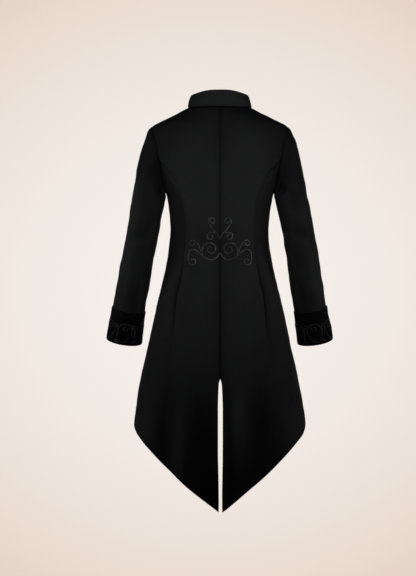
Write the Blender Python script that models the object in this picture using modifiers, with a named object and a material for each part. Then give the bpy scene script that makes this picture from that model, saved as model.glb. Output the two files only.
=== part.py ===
"""A black tailcoat, hollow and filled out as if worn.

Metres, +Z up. The coat faces -Y, its back is +Y, and the wearer's left is +X.
The origin is the middle of the neck opening, at the height of the shoulder's neck points.
Every panel is a cloth wall, lofted through level sections of one body form, and cut
along seams that are curves on that form.
"""

import math
from collections import namedtuple

import bmesh
import bpy
from mathutils import Matrix, Vector

# Cloth
WALL = 0.002
SEAM_GAP = 0.0003

# Heights of the body, measured from the neck points
SHOULDER_TIP = -0.052
ARMHOLE_BOTTOM = -0.234
WAIST_ROW = -0.310
VENT_TOP = -0.735
VENT_ROUNDING = 0.015
NECK_DROP_FRONT = 0.065

# Armhole: an egg in side view, halfway between the shoulder tip and the armpit
ARMHOLE_MIDDLE = (SHOULDER_TIP + ARMHOLE_BOTTOM) / 2
ARMHOLE_RISE = (SHOULDER_TIP - ARMHOLE_BOTTOM) / 2
ARMHOLE_BACK = 0.058
ARMHOLE_FRONT = 0.060
ARMHOLE_STEPS = 20

# Level sections of the body form: half width, depth behind and before the side line,
# and the exponent of the section's outline, where 2 is an ellipse
Section = namedtuple("Section", "height half_width back front square")
BODY_SECTIONS = (
    Section(0.010, 0.0800, 0.056, 0.052, 2.00),
    Section(0.000, 0.0890, 0.062, 0.058, 2.00),
    Section(-0.012, 0.1095, 0.069, 0.064, 2.00),
    Section(-0.028, 0.1405, 0.077, 0.071, 2.00),
    Section(-0.042, 0.1700, 0.083, 0.077, 2.00),
    Section(-0.052, 0.1860, 0.087, 0.081, 2.00),
    Section(-0.085, 0.2005, 0.096, 0.093, 2.00),
    Section(-0.123, 0.2050, 0.102, 0.105, 2.00),
    Section(-0.164, 0.1915, 0.105, 0.115, 2.05),
    Section(-0.205, 0.1680, 0.104, 0.121, 2.15),
    Section(-0.236, 0.1475, 0.101, 0.122, 2.25),
    Section(-0.275, 0.1388, 0.095, 0.118, 2.30),
    Section(-0.335, 0.1345, 0.0885, 0.108, 2.30),
    Section(-0.400, 0.1408, 0.0945, 0.107, 2.25),
    Section(-0.470, 0.1550, 0.1100, 0.114, 2.20),
    Section(-0.540, 0.1715, 0.1260, 0.122, 2.20),
    Section(-0.640, 0.1945, 0.1440, 0.132, 2.20),
    Section(-0.760, 0.2225, 0.160, 0.142, 2.20),
    Section(-0.860, 0.2390, 0.172, 0.150, 2.20),
    Section(-1.110, 0.2800, 0.196, 0.160, 2.20),
)

# Hem height by the angle round the body: 0 is the centre back, 90 the side, 180 the front
Hem = namedtuple("Hem", "degrees height")
HEM = (
    Hem(0, -1.090),
    Hem(30, -1.010),
    Hem(60, -0.917),
    Hem(72, -0.887),
    Hem(82, -0.865),
    Hem(92, -0.832),
    Hem(120, -0.715),
    Hem(150, -0.567),
    Hem(180, -0.440),
)

# Princess seam between centre back and side back: distance from the centre seam
Seam = namedtuple("Seam", "height across")
PRINCESS_SEAM = (
    Seam(-0.193, 0.1245),
    Seam(-0.252, 0.1030),
    Seam(-0.301, 0.0956),
    Seam(-0.351, 0.0935),
    Seam(-0.416, 0.0981),
    Seam(-0.473, 0.1076),
    Seam(-0.522, 0.1180),
    Seam(-0.584, 0.1240),
    Seam(-0.632, 0.1280),
    Seam(-1.110, 0.1660),
)

# Half width of the open centre vent
Vent = namedtuple("Vent", "height half_gap")
CENTRE_VENT = (
    Vent(VENT_TOP, SEAM_GAP / 2),
    Vent(VENT_TOP - VENT_ROUNDING, 0.0042),
    Vent(-0.820, 0.0066),
    Vent(-0.920, 0.0065),
    Vent(-1.060, 0.0046),
    Vent(-1.110, 0.0056),
)

# Soft flares of the tails: ridges (outward) and troughs that grow from a height to the hem
Flare = namedtuple("Flare", "side degrees spread depth top")
LEFT = 1
RIGHT = -1
FLARES = (
    Flare(LEFT, 16, 15, -0.008, -0.66),
    Flare(LEFT, 36, 10, 0.006, -0.72),
    Flare(LEFT, 50, 9, -0.008, -0.60),
    Flare(LEFT, 66, 11, 0.008, -0.56),
    Flare(LEFT, 98, 16, -0.006, -0.50),
    Flare(RIGHT, 5, 7, -0.005, -0.70),
    Flare(RIGHT, 17, 10, 0.009, -0.62),
    Flare(RIGHT, 42, 13, -0.009, -0.66),
    Flare(RIGHT, 64, 12, 0.008, -0.60),
    Flare(RIGHT, 95, 15, -0.006, -0.52),
)
FLARE_LEVEL = -0.90

# From behind, the flares leave the hem's line straight up to these angles
HEM_STRAIGHT_TO = math.radians(60)
HEM_PLAIN_FROM = math.radians(80)

# Front closing: the left front laps over the right one
FRONT_LAP = 0.016
LAP_LIFT = WALL + 2 * SEAM_GAP

# Sleeve: centre line and half sizes of its rings, from the upper arm to the hem;
# the right elbow stands out a little more
ELBOW_HEIGHT = -0.345
ELBOW_SPREAD = 0.100
ELBOW_OUT = {LEFT: 0.0, RIGHT: 0.0045}
Ring = namedtuple("Ring", "height across back half_width half_depth")
SLEEVE_RINGS = (
    Ring(-0.252, 0.1965, 0.000, 0.0445, 0.0600),
    Ring(-0.350, 0.2135, 0.003, 0.0438, 0.0560),
    Ring(-0.430, 0.2285, -0.001, 0.0442, 0.0510),
    Ring(-0.510, 0.2430, -0.015, 0.0447, 0.0465),
    Ring(-0.585, 0.2563, -0.032, 0.0445, 0.0430),
    Ring(-0.640, 0.2650, -0.045, 0.0474, 0.0434),
)
CAP_SLOPE_TOP = 25
CAP_SLOPE_UNDER = 75
CAP_START_PULL = 0.40
CAP_END_PULL = 1.00
HIND_ARM_STEP = 6

# Cuff: a velvet band outside the sleeve end
CUFF_TOP = -0.553
CUFF_BOTTOM = -0.642
CUFF_RINGS = (
    Ring(CUFF_TOP, None, None, 0.0485, 0.0480),
    Ring(CUFF_BOTTOM, None, None, 0.0500, 0.0460),
)

# Collar
COLLAR_BACK_HEIGHT = 0.0445
COLLAR_SIDE_HEIGHT = 0.0330
COLLAR_LEAN = 0.0095
COLLAR_END_GAP = 0.0015

# Buttons down the centre front
BUTTON_COUNT = 6
BUTTON_RADIUS = 0.0100
BUTTON_EDGE = 0.0016
BUTTON_DOME = 0.0032
BUTTON_TOP_HEIGHT = -0.092
BUTTON_LOW_HEIGHT = -0.350
BUTTON_STEPS = 16

# Mesh density
BACK_COLUMNS = 8
SIDE_COLUMNS = 5
FRONT_COLUMNS = 6
SHOULDER_ROWS = 4
SKIRT_ROWS = 12
CAP_ROWS = 4
ARM_ROWS = 7
CUFF_ROWS = 2
COLLAR_ROWS = 2
SIDE_BACK_TIP = ARMHOLE_MIDDLE - 0.0015

# Finish: colour (linear), roughness
BLACK_CLOTH = ((0.010, 0.010, 0.011), 0.85)
BLACK_VELVET = ((0.004, 0.004, 0.004), 0.95)
DARK_BUTTON = ((0.012, 0.012, 0.013), 0.35)


def smooth_value(places, values, place):
    """Read a smooth curve without overshoot through values at rising or falling places."""
    if places[0] > places[-1]:
        places = places[::-1]
        values = values[::-1]
    last = len(places) - 1
    if place <= places[0]:
        return values[0]
    if place >= places[last]:
        return values[last]
    steps = [places[i + 1] - places[i] for i in range(last)]
    slopes = [(values[i + 1] - values[i]) / steps[i] for i in range(last)]
    tangents = [slopes[0]]
    for i in range(1, last):
        before = slopes[i - 1]
        after = slopes[i]
        if before * after <= 0:
            tangents.append(0.0)
        else:
            tangents.append(2 * before * after / (before + after))
    tangents.append(slopes[-1])
    i = max(k for k in range(last) if places[k] <= place)
    t = (place - places[i]) / steps[i]
    return (
        values[i] * (1 + 2 * t) * (1 - t) ** 2
        + tangents[i] * steps[i] * t * (1 - t) ** 2
        + values[i + 1] * t * t * (3 - 2 * t)
        + tangents[i + 1] * steps[i] * t * t * (t - 1)
    )


def column(rows, name):
    """One named column of a table."""
    return [getattr(row, name) for row in rows]


def table_value(rows, name, place, key="height"):
    """A smooth value of a table's column at a place of its key column."""
    return smooth_value(column(rows, key), column(rows, name), place)


def mix(a, b, t):
    """The value at share t of the way from a to b."""
    return a + (b - a) * t


def smooth_step(t):
    """0 below 0, 1 above 1, and a soft ramp between."""
    t = min(1.0, max(0.0, t))
    return t * t * (3 - 2 * t)


def neck_height(angle):
    """Height of the neck seam: level round the back, dropping towards the front."""
    if angle <= math.pi / 2:
        return 0.0
    return -NECK_DROP_FRONT * (1 + math.cos(2 * angle)) / 2


def flare(side, angle, height):
    """How far the tails' soft folds stand out of the plain form."""
    total = 0.0
    for fold in FLARES:
        if fold.side != side:
            continue
        grown = smooth_step((height - fold.top) / (FLARE_LEVEL - fold.top))
        away = (math.degrees(angle) - fold.degrees) / fold.spread
        total += fold.depth * grown * math.exp(-away * away)
    return total


def plain_radius(angle, height):
    """Distance from the middle to the form's outer face, without the flares."""
    half_width = table_value(BODY_SECTIONS, "half_width", height)
    depth_name = "back" if angle <= math.pi / 2 else "front"
    depth = table_value(BODY_SECTIONS, depth_name, height)
    square = table_value(BODY_SECTIONS, "square", height)
    across = abs(math.sin(angle)) / half_width
    along = abs(math.cos(angle)) / depth
    return (across ** square + along ** square) ** (-1 / square)


def body_point(side, angle, height):
    """A point of the body form's outer face."""
    radius = plain_radius(angle, height) + flare(side, angle, height)
    return Vector((side * radius * math.sin(angle), radius * math.cos(angle), height))


def hem_height(side, angle):
    """Height of the hem: where a flare moves it sideways, it keeps the height that is there."""
    plain = table_value(HEM, "height", math.degrees(angle), key="degrees")
    step = 0.01
    ahead = plain_radius(angle + step, plain) * math.sin(angle + step)
    behind = plain_radius(angle - step, plain) * math.sin(angle - step)
    gain = max((ahead - behind) / (2 * step), 0.08)
    moved = flare(side, angle, plain) * math.sin(angle) / gain
    moved *= smooth_step((HEM_PLAIN_FROM - angle) / (HEM_PLAIN_FROM - HEM_STRAIGHT_TO))
    return table_value(HEM, "height", math.degrees(angle + moved), key="degrees")


def surface_normal(point_at, a, b, side, step_a=0.002, step_b=0.0008):
    """The outward normal of a form at two parameters, by small differences."""
    along_a = point_at(a + step_a, b) - point_at(a - step_a, b)
    along_b = point_at(a, b + step_b) - point_at(a, b - step_b)
    return (along_b.cross(along_a) * side).normalized()


def body_normal(side, angle, height):
    """The body form's outward normal."""
    angle = max(angle, 0.004)

    def point_at(a, h):
        return body_point(side, a, h)

    return surface_normal(point_at, angle, height, side)


def side_reach(back, height):
    """Distance from the centre plane to the form at a given distance behind the side line."""
    half_width = table_value(BODY_SECTIONS, "half_width", height)
    depth = table_value(BODY_SECTIONS, "back" if back >= 0 else "front", height)
    square = table_value(BODY_SECTIONS, "square", height)
    return half_width * (1 - (abs(back) / depth) ** square) ** (1 / square)


def back_reach(across, height):
    """Distance behind the side line of the back's form at a distance from the centre plane."""
    half_width = table_value(BODY_SECTIONS, "half_width", height)
    depth = table_value(BODY_SECTIONS, "back", height)
    square = table_value(BODY_SECTIONS, "square", height)
    return depth * (1 - (across / half_width) ** square) ** (1 / square)


def armhole_depth(height, reach):
    """How far the armhole stands from the side line at a height."""
    share = (height - ARMHOLE_MIDDLE) / ARMHOLE_RISE
    return reach * math.sqrt(max(0.0, 1 - share * share))


def armhole_angle(height, reach):
    """Angle of the armhole's back (reach > 0) or front (reach < 0) edge at a height."""
    back = armhole_depth(height, reach)
    return math.atan2(side_reach(back, height), back)


def centre_edge(height):
    """Angle of the centre seam's edge, and of the open vent below it."""
    half_gap = SEAM_GAP / 2
    if height < VENT_TOP:
        half_gap = table_value(CENTRE_VENT, "half_gap", height)
    return math.atan2(half_gap, table_value(BODY_SECTIONS, "back", height))


def princess_edge(height):
    """Angle of the seam between centre back and side back."""
    start = Seam(ARMHOLE_MIDDLE, side_reach(ARMHOLE_BACK, ARMHOLE_MIDDLE))
    across = table_value((start,) + PRINCESS_SEAM, "across", height)
    return math.atan2(across, back_reach(across, height))


def back_outer_edge(height):
    """Outer edge of the centre back: shoulder seam, armhole, then princess seam."""
    if height >= SHOULDER_TIP:
        return math.pi / 2
    if height >= ARMHOLE_MIDDLE:
        return armhole_angle(height, ARMHOLE_BACK)
    return princess_edge(height)


def side_outer_edge(height):
    """Outer edge of the side back: armhole, then side seam."""
    if height >= ARMHOLE_BOTTOM:
        return armhole_angle(height, ARMHOLE_BACK)
    return math.pi / 2


def front_outer_edge(height):
    """Outer edge of the front: shoulder seam, armhole, then side seam."""
    if height >= SHOULDER_TIP or height <= ARMHOLE_BOTTOM:
        return math.pi / 2
    return armhole_angle(height, -ARMHOLE_FRONT)


def lap_line(height):
    """Angle at which a front meets the edge of the other one, on its own side."""
    return math.pi - math.atan2(FRONT_LAP, table_value(BODY_SECTIONS, "front", height))


def centre_front(height):
    """Angle of the centre front line."""
    return math.pi


def front_inner_edge(height):
    """Inner edge of a front, just past the centre front."""
    return 2 * math.pi - lap_line(height)


def row_height(side, row, angle):
    """Height of a row of the loft: -1 is the neck, 0 the armhole's middle,
    1 a level just above the waist and 2 the hem."""
    if row < 0:
        return mix(ARMHOLE_MIDDLE, neck_height(angle), -row)
    if row < 1:
        return mix(ARMHOLE_MIDDLE, WAIST_ROW, row)
    return mix(WAIST_ROW, hem_height(side, angle), row - 1)


def row_of(height, angle):
    """The row that passes a height at an angle, down to the level above the waist."""
    if height > ARMHOLE_MIDDLE:
        return (height - ARMHOLE_MIDDLE) / (ARMHOLE_MIDDLE - neck_height(angle))
    return (height - ARMHOLE_MIDDLE) / (WAIST_ROW - ARMHOLE_MIDDLE)


def edge_angle(side, edge, row, start=math.pi / 2):
    """Angle at which a row meets an edge that is given by height."""
    angle = start
    for _ in range(14):
        angle = edge(row_height(side, row, angle))
    return angle


def skirt_rows():
    """The rows below the level above the waist, two of them where the vent starts to open."""
    back_hem = HEM[0].height
    rows = [1 + (i + 1) / SKIRT_ROWS for i in range(SKIRT_ROWS)]
    for height in (VENT_TOP, VENT_TOP - VENT_ROUNDING):
        rows.append(1 + (height - WAIST_ROW) / (back_hem - WAIST_ROW))
    return sorted(rows)


def panel_rows(outer_edge, extra=(), top_height=0.0):
    """The rows of a panel, so that its outer edge has a point at every armhole step."""
    heights = [SHOULDER_TIP * i / SHOULDER_ROWS for i in range(SHOULDER_ROWS)]
    for step in range(ARMHOLE_STEPS // 2 + 1):
        turn = 2 * math.pi * step / ARMHOLE_STEPS
        heights.append(ARMHOLE_MIDDLE + ARMHOLE_RISE * math.cos(turn))
    heights.extend(extra)
    heights.append(mix(ARMHOLE_BOTTOM, WAIST_ROW, 0.5))
    heights.append(WAIST_ROW)
    heights = sorted((h for h in heights if h <= top_height), reverse=True)
    rows = [row_of(height, outer_edge(height)) for height in heights]
    return rows + skirt_rows()


def inset(points, gap):
    """Draw the first and last point of each row in, for the gap at a seam."""
    moved = [list(row) for row in points]
    last_row = len(points) - 1
    for end, inner in ((0, 1), (-1, -2)):
        for i, row in enumerate(points):
            seam = points[min(i + 1, last_row)][end] - points[max(i - 1, 0)][end]
            seam.normalize()
            inward = row[inner] - row[end]
            square_part = inward - seam * inward.dot(seam)
            moved[i][end] = row[end] + inward * (gap / square_part.length)
    return moved


def make_wall(name, outer, inner, flip, finish):
    """A closed cloth wall between an outer and an inner grid of points."""
    mesh = bpy.data.meshes.new(name)
    build = bmesh.new()
    outside = [[build.verts.new(point) for point in row] for row in outer]
    inside = [[build.verts.new(point) for point in row] for row in inner]
    last_row = len(outside) - 1
    last_column = len(outside[0]) - 1
    for i in range(last_row):
        for j in range(last_column):
            corners = ((i, j), (i + 1, j), (i + 1, j + 1), (i, j + 1))
            build.faces.new([outside[r][c] for r, c in corners])
            build.faces.new([inside[r][c] for r, c in reversed(corners)])
    rim = [(i, 0) for i in range(last_row)]
    rim += [(last_row, j) for j in range(last_column)]
    rim += [(i, last_column) for i in range(last_row, 0, -1)]
    rim += [(0, j) for j in range(last_column, 0, -1)]
    for here, there in zip(rim, rim[1:] + rim[:1]):
        face = (outside[here[0]][here[1]], inside[here[0]][here[1]])
        face += (inside[there[0]][there[1]], outside[there[0]][there[1]])
        build.faces.new(face)
    if flip:
        bmesh.ops.reverse_faces(build, faces=build.faces)
    build.to_mesh(mesh)
    build.free()
    part = bpy.data.objects.new(name, mesh)
    return add_part(part, finish)


def add_part(part, finish):
    """Put an object in the coat's collection and give it its own material."""
    colour, roughness = finish
    bpy.data.collections["Tailcoat"].objects.link(part)
    material = bpy.data.materials.new(part.name)
    material.use_nodes = True
    shader = material.node_tree.nodes["Principled BSDF"]
    shader.inputs["Base Color"].default_value = (*colour, 1.0)
    shader.inputs["Roughness"].default_value = roughness
    shader.inputs["Metallic"].default_value = 0.0
    part.data.materials.append(material)
    return part


def row_angles(side, edges, columns, row):
    """Angles of a row's points, with a number of columns between each edge and the next."""
    stops = [edge_angle(side, edge, row) for edge in edges]
    angles = stops[:1]
    for first, last, count in zip(stops, stops[1:], columns):
        angles += [mix(first, last, (j + 1) / count) for j in range(count)]
    return angles


def body_panel(name, side, rows, edges, columns, lift=None):
    """A panel of the body between edges, as a wall under the form's outer face."""
    outer = []
    normals = []
    for row in rows:
        points = []
        directions = []
        for angle in row_angles(side, edges, columns, row):
            height = row_height(side, row, angle)
            normal = body_normal(side, angle, height)
            point = body_point(side, angle, height)
            if lift:
                point += Vector((normal.x, normal.y, 0)).normalized() * lift(angle, height)
            points.append(point)
            directions.append(normal)
        outer.append(points)
        normals.append(directions)
    outer = inset(outer, SEAM_GAP / 2)
    inner = [[p - n * WALL for p, n in zip(*pair)] for pair in zip(outer, normals)]
    return make_wall(name, outer, inner, side == LEFT, BLACK_CLOTH)


def lap_lift(angle, height):
    """How far the upper front is lifted to pass over the lower one."""
    line = lap_line(height)
    ramp = (line - math.pi / 2) / FRONT_COLUMNS
    return LAP_LIFT * smooth_step((angle - line) / ramp + 1)


def armhole_point(side, turn):
    """A point of the armhole's edge: turn 0 is the top, a quarter turn the back."""
    height = ARMHOLE_MIDDLE + ARMHOLE_RISE * math.cos(turn)
    reach = ARMHOLE_BACK if math.sin(turn) >= 0 else ARMHOLE_FRONT
    back = reach * math.sin(turn)
    return Vector((side * side_reach(back, height), back, height))


def arm_frame(side, height):
    """Centre and the outward, backward and downward directions of the arm at a height."""
    low = SLEEVE_RINGS[-1].height
    high = SLEEVE_RINGS[0].height
    across = table_value(SLEEVE_RINGS, "across", height)
    across += ELBOW_OUT[side] * math.exp(-((height - ELBOW_HEIGHT) / ELBOW_SPREAD) ** 2)
    back = table_value(SLEEVE_RINGS, "back", height)
    centre = Vector((across, back, height))
    above = min(high, height + 0.02)
    below = max(low, height - 0.02)
    down = Vector((
        table_value(SLEEVE_RINGS, "across", below) - table_value(SLEEVE_RINGS, "across", above),
        table_value(SLEEVE_RINGS, "back", below) - table_value(SLEEVE_RINGS, "back", above),
        below - above,
    )).normalized()
    outward = Vector((1, 0, 0)) - down * down.x
    outward.normalize()
    backward = outward.cross(down)
    for vector in (centre, outward, backward, down):
        vector.x *= side
    return centre, outward, backward, down


def ring_point(side, turn, height, half_width, half_depth):
    """A point of a ring square to the arm."""
    centre, outward, backward, _ = arm_frame(side, height)
    return centre + outward * (half_width * math.cos(turn)) + backward * (half_depth * math.sin(turn))


def sleeve_point(side, turn, level):
    """A point of the sleeve: level 0 is the armhole, 1 the upper arm ring, 2 the hem."""
    upper = SLEEVE_RINGS[0].height
    if level > 1:
        height = mix(upper, SLEEVE_RINGS[-1].height, level - 1)
        half_width = table_value(SLEEVE_RINGS, "half_width", height)
        half_depth = table_value(SLEEVE_RINGS, "half_depth", height)
        return ring_point(side, turn, height, half_width, half_depth)
    slope = math.radians(mix(CAP_SLOPE_UNDER, CAP_SLOPE_TOP, (1 + math.cos(turn)) / 2))
    leaving = Vector((side * math.cos(slope), 0, -math.sin(slope)))
    start = armhole_point(side, turn)
    end = ring_point(side, turn, upper, SLEEVE_RINGS[0].half_width, SLEEVE_RINGS[0].half_depth)
    down = arm_frame(side, upper)[3]
    length = (end - start).length
    t = level
    return (
        start * ((1 + 2 * t) * (1 - t) ** 2)
        + leaving * (CAP_START_PULL * length * t * (1 - t) ** 2)
        + end * (t * t * (3 - 2 * t))
        + down * (CAP_END_PULL * length * t * t * (t - 1))
    )


def tube_normal(point_at, turn, level, side):
    """The outward normal of a tube that runs down the arm."""
    return surface_normal(point_at, turn, level, side, 0.01, 0.01)


def sleeve_panel(name, side, first_step, last_step):
    """Half of a sleeve, between two of the armhole's steps."""

    def point_at(turn, level):
        return sleeve_point(side, turn, level)

    levels = [i / CAP_ROWS for i in range(CAP_ROWS)]
    levels += [1 + i / ARM_ROWS for i in range(ARM_ROWS + 1)]
    outer = []
    normals = []
    for level in levels:
        turns = [2 * math.pi * s / ARMHOLE_STEPS for s in range(first_step, last_step + 1)]
        points = [point_at(turn, level) for turn in turns]
        inside_level = min(max(level, 0.012), 1.988)
        directions = [tube_normal(point_at, turn, inside_level, side) for turn in turns]
        if level == 0:
            points = [p + armhole_gap(side, turn) for p, turn in zip(points, turns)]
        outer.append(points)
        normals.append(directions)
    outer = inset(outer, SEAM_GAP / 2)
    inner = [[p - n * WALL for p, n in zip(*pair)] for pair in zip(outer, normals)]
    return make_wall(name, outer, inner, side == RIGHT, BLACK_CLOTH)


def armhole_gap(side, turn):
    """The step that keeps the sleeve's edge clear of the armhole's edge."""
    start = sleeve_point(side, turn, 0)
    leaving = (sleeve_point(side, turn, 0.02) - start).normalized()
    angle = math.atan2(abs(start.x), start.y)
    outward = body_normal(side, angle, start.z)
    return (leaving + outward).normalized() * SEAM_GAP


def add_sleeve(side, word):
    """The top and under sleeve of one side."""
    half = ARMHOLE_STEPS // 2
    sleeve_panel(f"top_sleeve_{word}", side, HIND_ARM_STEP - half, HIND_ARM_STEP)
    sleeve_panel(f"under_sleeve_{word}", side, HIND_ARM_STEP, HIND_ARM_STEP + half)


def add_cuff(side, word):
    """The velvet band of one side, a closed tube."""

    def point_at(turn, height):
        half_width = table_value(CUFF_RINGS, "half_width", height)
        half_depth = table_value(CUFF_RINGS, "half_depth", height)
        return ring_point(side, turn, height, half_width, half_depth)

    turns = [2 * math.pi * s / ARMHOLE_STEPS for s in range(ARMHOLE_STEPS)]
    heights = [mix(CUFF_TOP, CUFF_BOTTOM, i / CUFF_ROWS) for i in range(CUFF_ROWS + 1)]
    outer = [[point_at(turn, h) for turn in turns] for h in heights]
    normals = []
    for h in heights:
        level = min(max(h, CUFF_BOTTOM + 0.001), CUFF_TOP - 0.001)
        normals.append([tube_normal_at_height(point_at, turn, level, side) for turn in turns])
    inner = [[p - n * WALL for p, n in zip(*pair)] for pair in zip(outer, normals)]
    mesh = bpy.data.meshes.new(f"cuff_{word}")
    build = bmesh.new()
    loops = [[build.verts.new(point) for point in ring] for ring in outer + inner[::-1]]
    loops.append(loops[0])
    for above, below in zip(loops, loops[1:]):
        for j in range(ARMHOLE_STEPS):
            k = (j + 1) % ARMHOLE_STEPS
            build.faces.new((above[j], below[j], below[k], above[k]))
    if side == RIGHT:
        bmesh.ops.reverse_faces(build, faces=build.faces)
    build.to_mesh(mesh)
    build.free()
    add_part(bpy.data.objects.new(f"cuff_{word}", mesh), BLACK_VELVET)


def tube_normal_at_height(point_at, turn, height, side):
    """The outward normal of a band whose second parameter is a height."""
    return surface_normal(point_at, turn, height, -side, 0.01, 0.0008)


FRONT_EDGES = (front_outer_edge, lap_line, centre_front, front_inner_edge)


def add_body():
    """Centre back, side back and front of both sides."""
    back_rows = panel_rows(back_outer_edge, (SIDE_BACK_TIP,))
    side_rows = panel_rows(side_outer_edge, (SIDE_BACK_TIP,), SIDE_BACK_TIP)
    front_rows = panel_rows(front_outer_edge)
    for side, word in ((LEFT, "left"), (RIGHT, "right")):
        centre_edges = (centre_edge, back_outer_edge)
        side_edges = (princess_edge, side_outer_edge)
        body_panel(f"centre_back_{word}", side, back_rows, centre_edges, (BACK_COLUMNS,))
        body_panel(f"side_back_{word}", side, side_rows, side_edges, (SIDE_COLUMNS,))
        lift = lap_lift if side == LEFT else None
        body_panel(f"front_{word}", side, front_rows, FRONT_EDGES, (FRONT_COLUMNS, 1, 1), lift)


def add_collar():
    """The stand collar, on the neck seam, with its ends meeting at the centre front."""
    depth = table_value(BODY_SECTIONS, "front", -NECK_DROP_FRONT)
    half = [math.pi / 2 * j / BACK_COLUMNS for j in range(BACK_COLUMNS)]
    half += row_angles(LEFT, FRONT_EDGES, (FRONT_COLUMNS, 1, 1), -1)[:-2]
    half.append(math.pi - math.atan2(COLLAR_END_GAP, depth))
    around = [(RIGHT, angle) for angle in reversed(half)] + [(LEFT, angle) for angle in half[1:]]
    outer = []
    inner = []
    for i in range(COLLAR_ROWS + 1):
        share = i / COLLAR_ROWS
        outer_row = []
        inner_row = []
        for side, angle in around:
            foot = body_point(side, angle, neck_height(angle))
            away = Vector((foot.x, foot.y, 0)).normalized()
            tall = COLLAR_SIDE_HEIGHT
            if angle < math.pi / 2:
                tall = mix(COLLAR_BACK_HEIGHT, COLLAR_SIDE_HEIGHT, math.sin(angle) ** 4)
            rise = Vector((0, 0, SEAM_GAP + tall * share)) - away * (COLLAR_LEAN * share)
            outer_row.append(foot + rise)
            inner_row.append(foot + rise - away * WALL)
        outer.append(outer_row)
        inner.append(inner_row)
    make_wall("collar", outer, inner, False, BLACK_CLOTH)


def add_buttons():
    """Domed buttons on the lapped front, down its centre line."""
    for i in range(BUTTON_COUNT):
        height = mix(BUTTON_TOP_HEIGHT, BUTTON_LOW_HEIGHT, i / (BUTTON_COUNT - 1))
        normal = body_normal(LEFT, math.pi - 0.004, height)
        seat = body_point(LEFT, math.pi, height) + normal * (LAP_LIFT + SEAM_GAP)
        mesh = bpy.data.meshes.new(f"button_{i + 1}")
        profile = [(0, BUTTON_DOME)]
        for turn in (30, 60):
            reach = BUTTON_RADIUS * math.sin(math.radians(turn))
            rise = mix(BUTTON_EDGE, BUTTON_DOME, math.cos(math.radians(turn)))
            profile.append((reach, rise))
        profile += [(BUTTON_RADIUS, BUTTON_EDGE), (BUTTON_RADIUS, 0), (0, 0)]
        edges = [(k, k + 1) for k in range(len(profile) - 1)]
        mesh.from_pydata([(reach, 0, rise) for reach, rise in profile], edges, [])
        button = bpy.data.objects.new(f"button_{i + 1}", mesh)
        add_part(button, DARK_BUTTON)
        turned = button.modifiers.new("Turned", "SCREW")
        turned.axis = "Z"
        turned.steps = BUTTON_STEPS
        turned.render_steps = BUTTON_STEPS
        turned.use_merge_vertices = True
        turned.merge_threshold = 0.00001
        button.matrix_world = Matrix.Translation(seat) @ normal.to_track_quat("Z", "Y").to_matrix().to_4x4()


def build_coat():
    """Clear the scene and build every piece."""
    for old in list(bpy.data.objects):
        bpy.data.objects.remove(old)
    coat = bpy.data.collections.new("Tailcoat")
    bpy.context.scene.collection.children.link(coat)
    add_body()
    for side, word in ((LEFT, "left"), (RIGHT, "right")):
        add_sleeve(side, word)
        add_cuff(side, word)
    add_collar()
    add_buttons()


build_coat()
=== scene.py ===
import math
from collections import namedtuple
from functools import partial

import bpy
import numpy as np
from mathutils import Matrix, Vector


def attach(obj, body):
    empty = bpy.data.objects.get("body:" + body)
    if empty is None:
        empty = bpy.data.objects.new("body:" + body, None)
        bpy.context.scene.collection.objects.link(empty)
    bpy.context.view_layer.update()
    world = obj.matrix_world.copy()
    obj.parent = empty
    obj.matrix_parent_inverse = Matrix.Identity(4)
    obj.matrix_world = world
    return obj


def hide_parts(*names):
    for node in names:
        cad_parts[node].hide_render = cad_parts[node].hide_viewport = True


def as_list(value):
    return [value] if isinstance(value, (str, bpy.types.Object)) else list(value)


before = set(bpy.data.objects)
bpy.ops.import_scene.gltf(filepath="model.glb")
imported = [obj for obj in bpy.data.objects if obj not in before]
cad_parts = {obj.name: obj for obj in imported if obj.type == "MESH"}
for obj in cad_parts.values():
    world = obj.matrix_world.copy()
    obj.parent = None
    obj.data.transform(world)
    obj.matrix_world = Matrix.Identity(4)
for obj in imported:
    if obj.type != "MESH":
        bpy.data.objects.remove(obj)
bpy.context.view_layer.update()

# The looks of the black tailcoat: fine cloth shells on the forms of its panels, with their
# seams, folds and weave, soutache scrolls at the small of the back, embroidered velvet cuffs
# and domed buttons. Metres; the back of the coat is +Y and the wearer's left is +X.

LEFT = 1
RIGHT = -1
SIDES = ((LEFT, "left"), (RIGHT, "right"))
FULL_TURN = 2 * math.pi

# Cloth
WALL = 0.002
SEAM_GAP = 0.0001
ALLOWANCE = 0.012
ALLOWANCE_WALL = 0.0007
ALLOWANCE_SLOPE = 0.001
HEM_TURN = 0.035

# Steps of the shells: in from an edge, between rows, and columns of each panel
EDGE_STEPS = np.array((0.0, 0.0008, 0.0018, 0.0032, 0.0052, 0.0080))
CUFF_EDGE_STEPS = np.array((0.0, 0.0005, 0.0012, 0.0022, 0.0035, 0.006))
HIGH_ROW_STEP = 0.004
LOW_ROW_STEP = 0.0052
CAP_ROW_STEP = 0.03
ARM_ROW_STEP = 0.0105
ARMHOLE_ROWS = 49
CUFF_ROWS = 26
COLUMNS = {"back": 36, "side": 28, "front": 44, "sleeve": 42, "cuff": 144, "collar": 90}
CAP_STOPS = (0, 0.05, 0.2, 1)
ARM_STOPS = (1, 1.985, 2)

# The most that the edge steps take of a row's width, that width as a share of its angle times
# the body's half width, and how far a rim stands out as a share of the wall
EDGE_STEPS_MOST = 0.3
ARC_SHARE = 0.8
RIM_BULGE = 0.175

# Steps along the two directions of a form over which its slopes are measured
BODY_SLOPE_STEPS = (0.002, 0.0008)
SLEEVE_SLOPE_STEPS = (0.01, 0.01)
CUFF_SLOPE_STEPS = (0.01, -0.0008)
ARM_SLOPE_STEP = 0.02

# How near slopes are measured to the centre planes and to the ends of sleeves and cuffs
CENTRE_NEAREST = 0.004
SLEEVE_NEAREST = 0.012
CUFF_NEAREST = 0.001
EDGE_ROUNDS = 14

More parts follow.
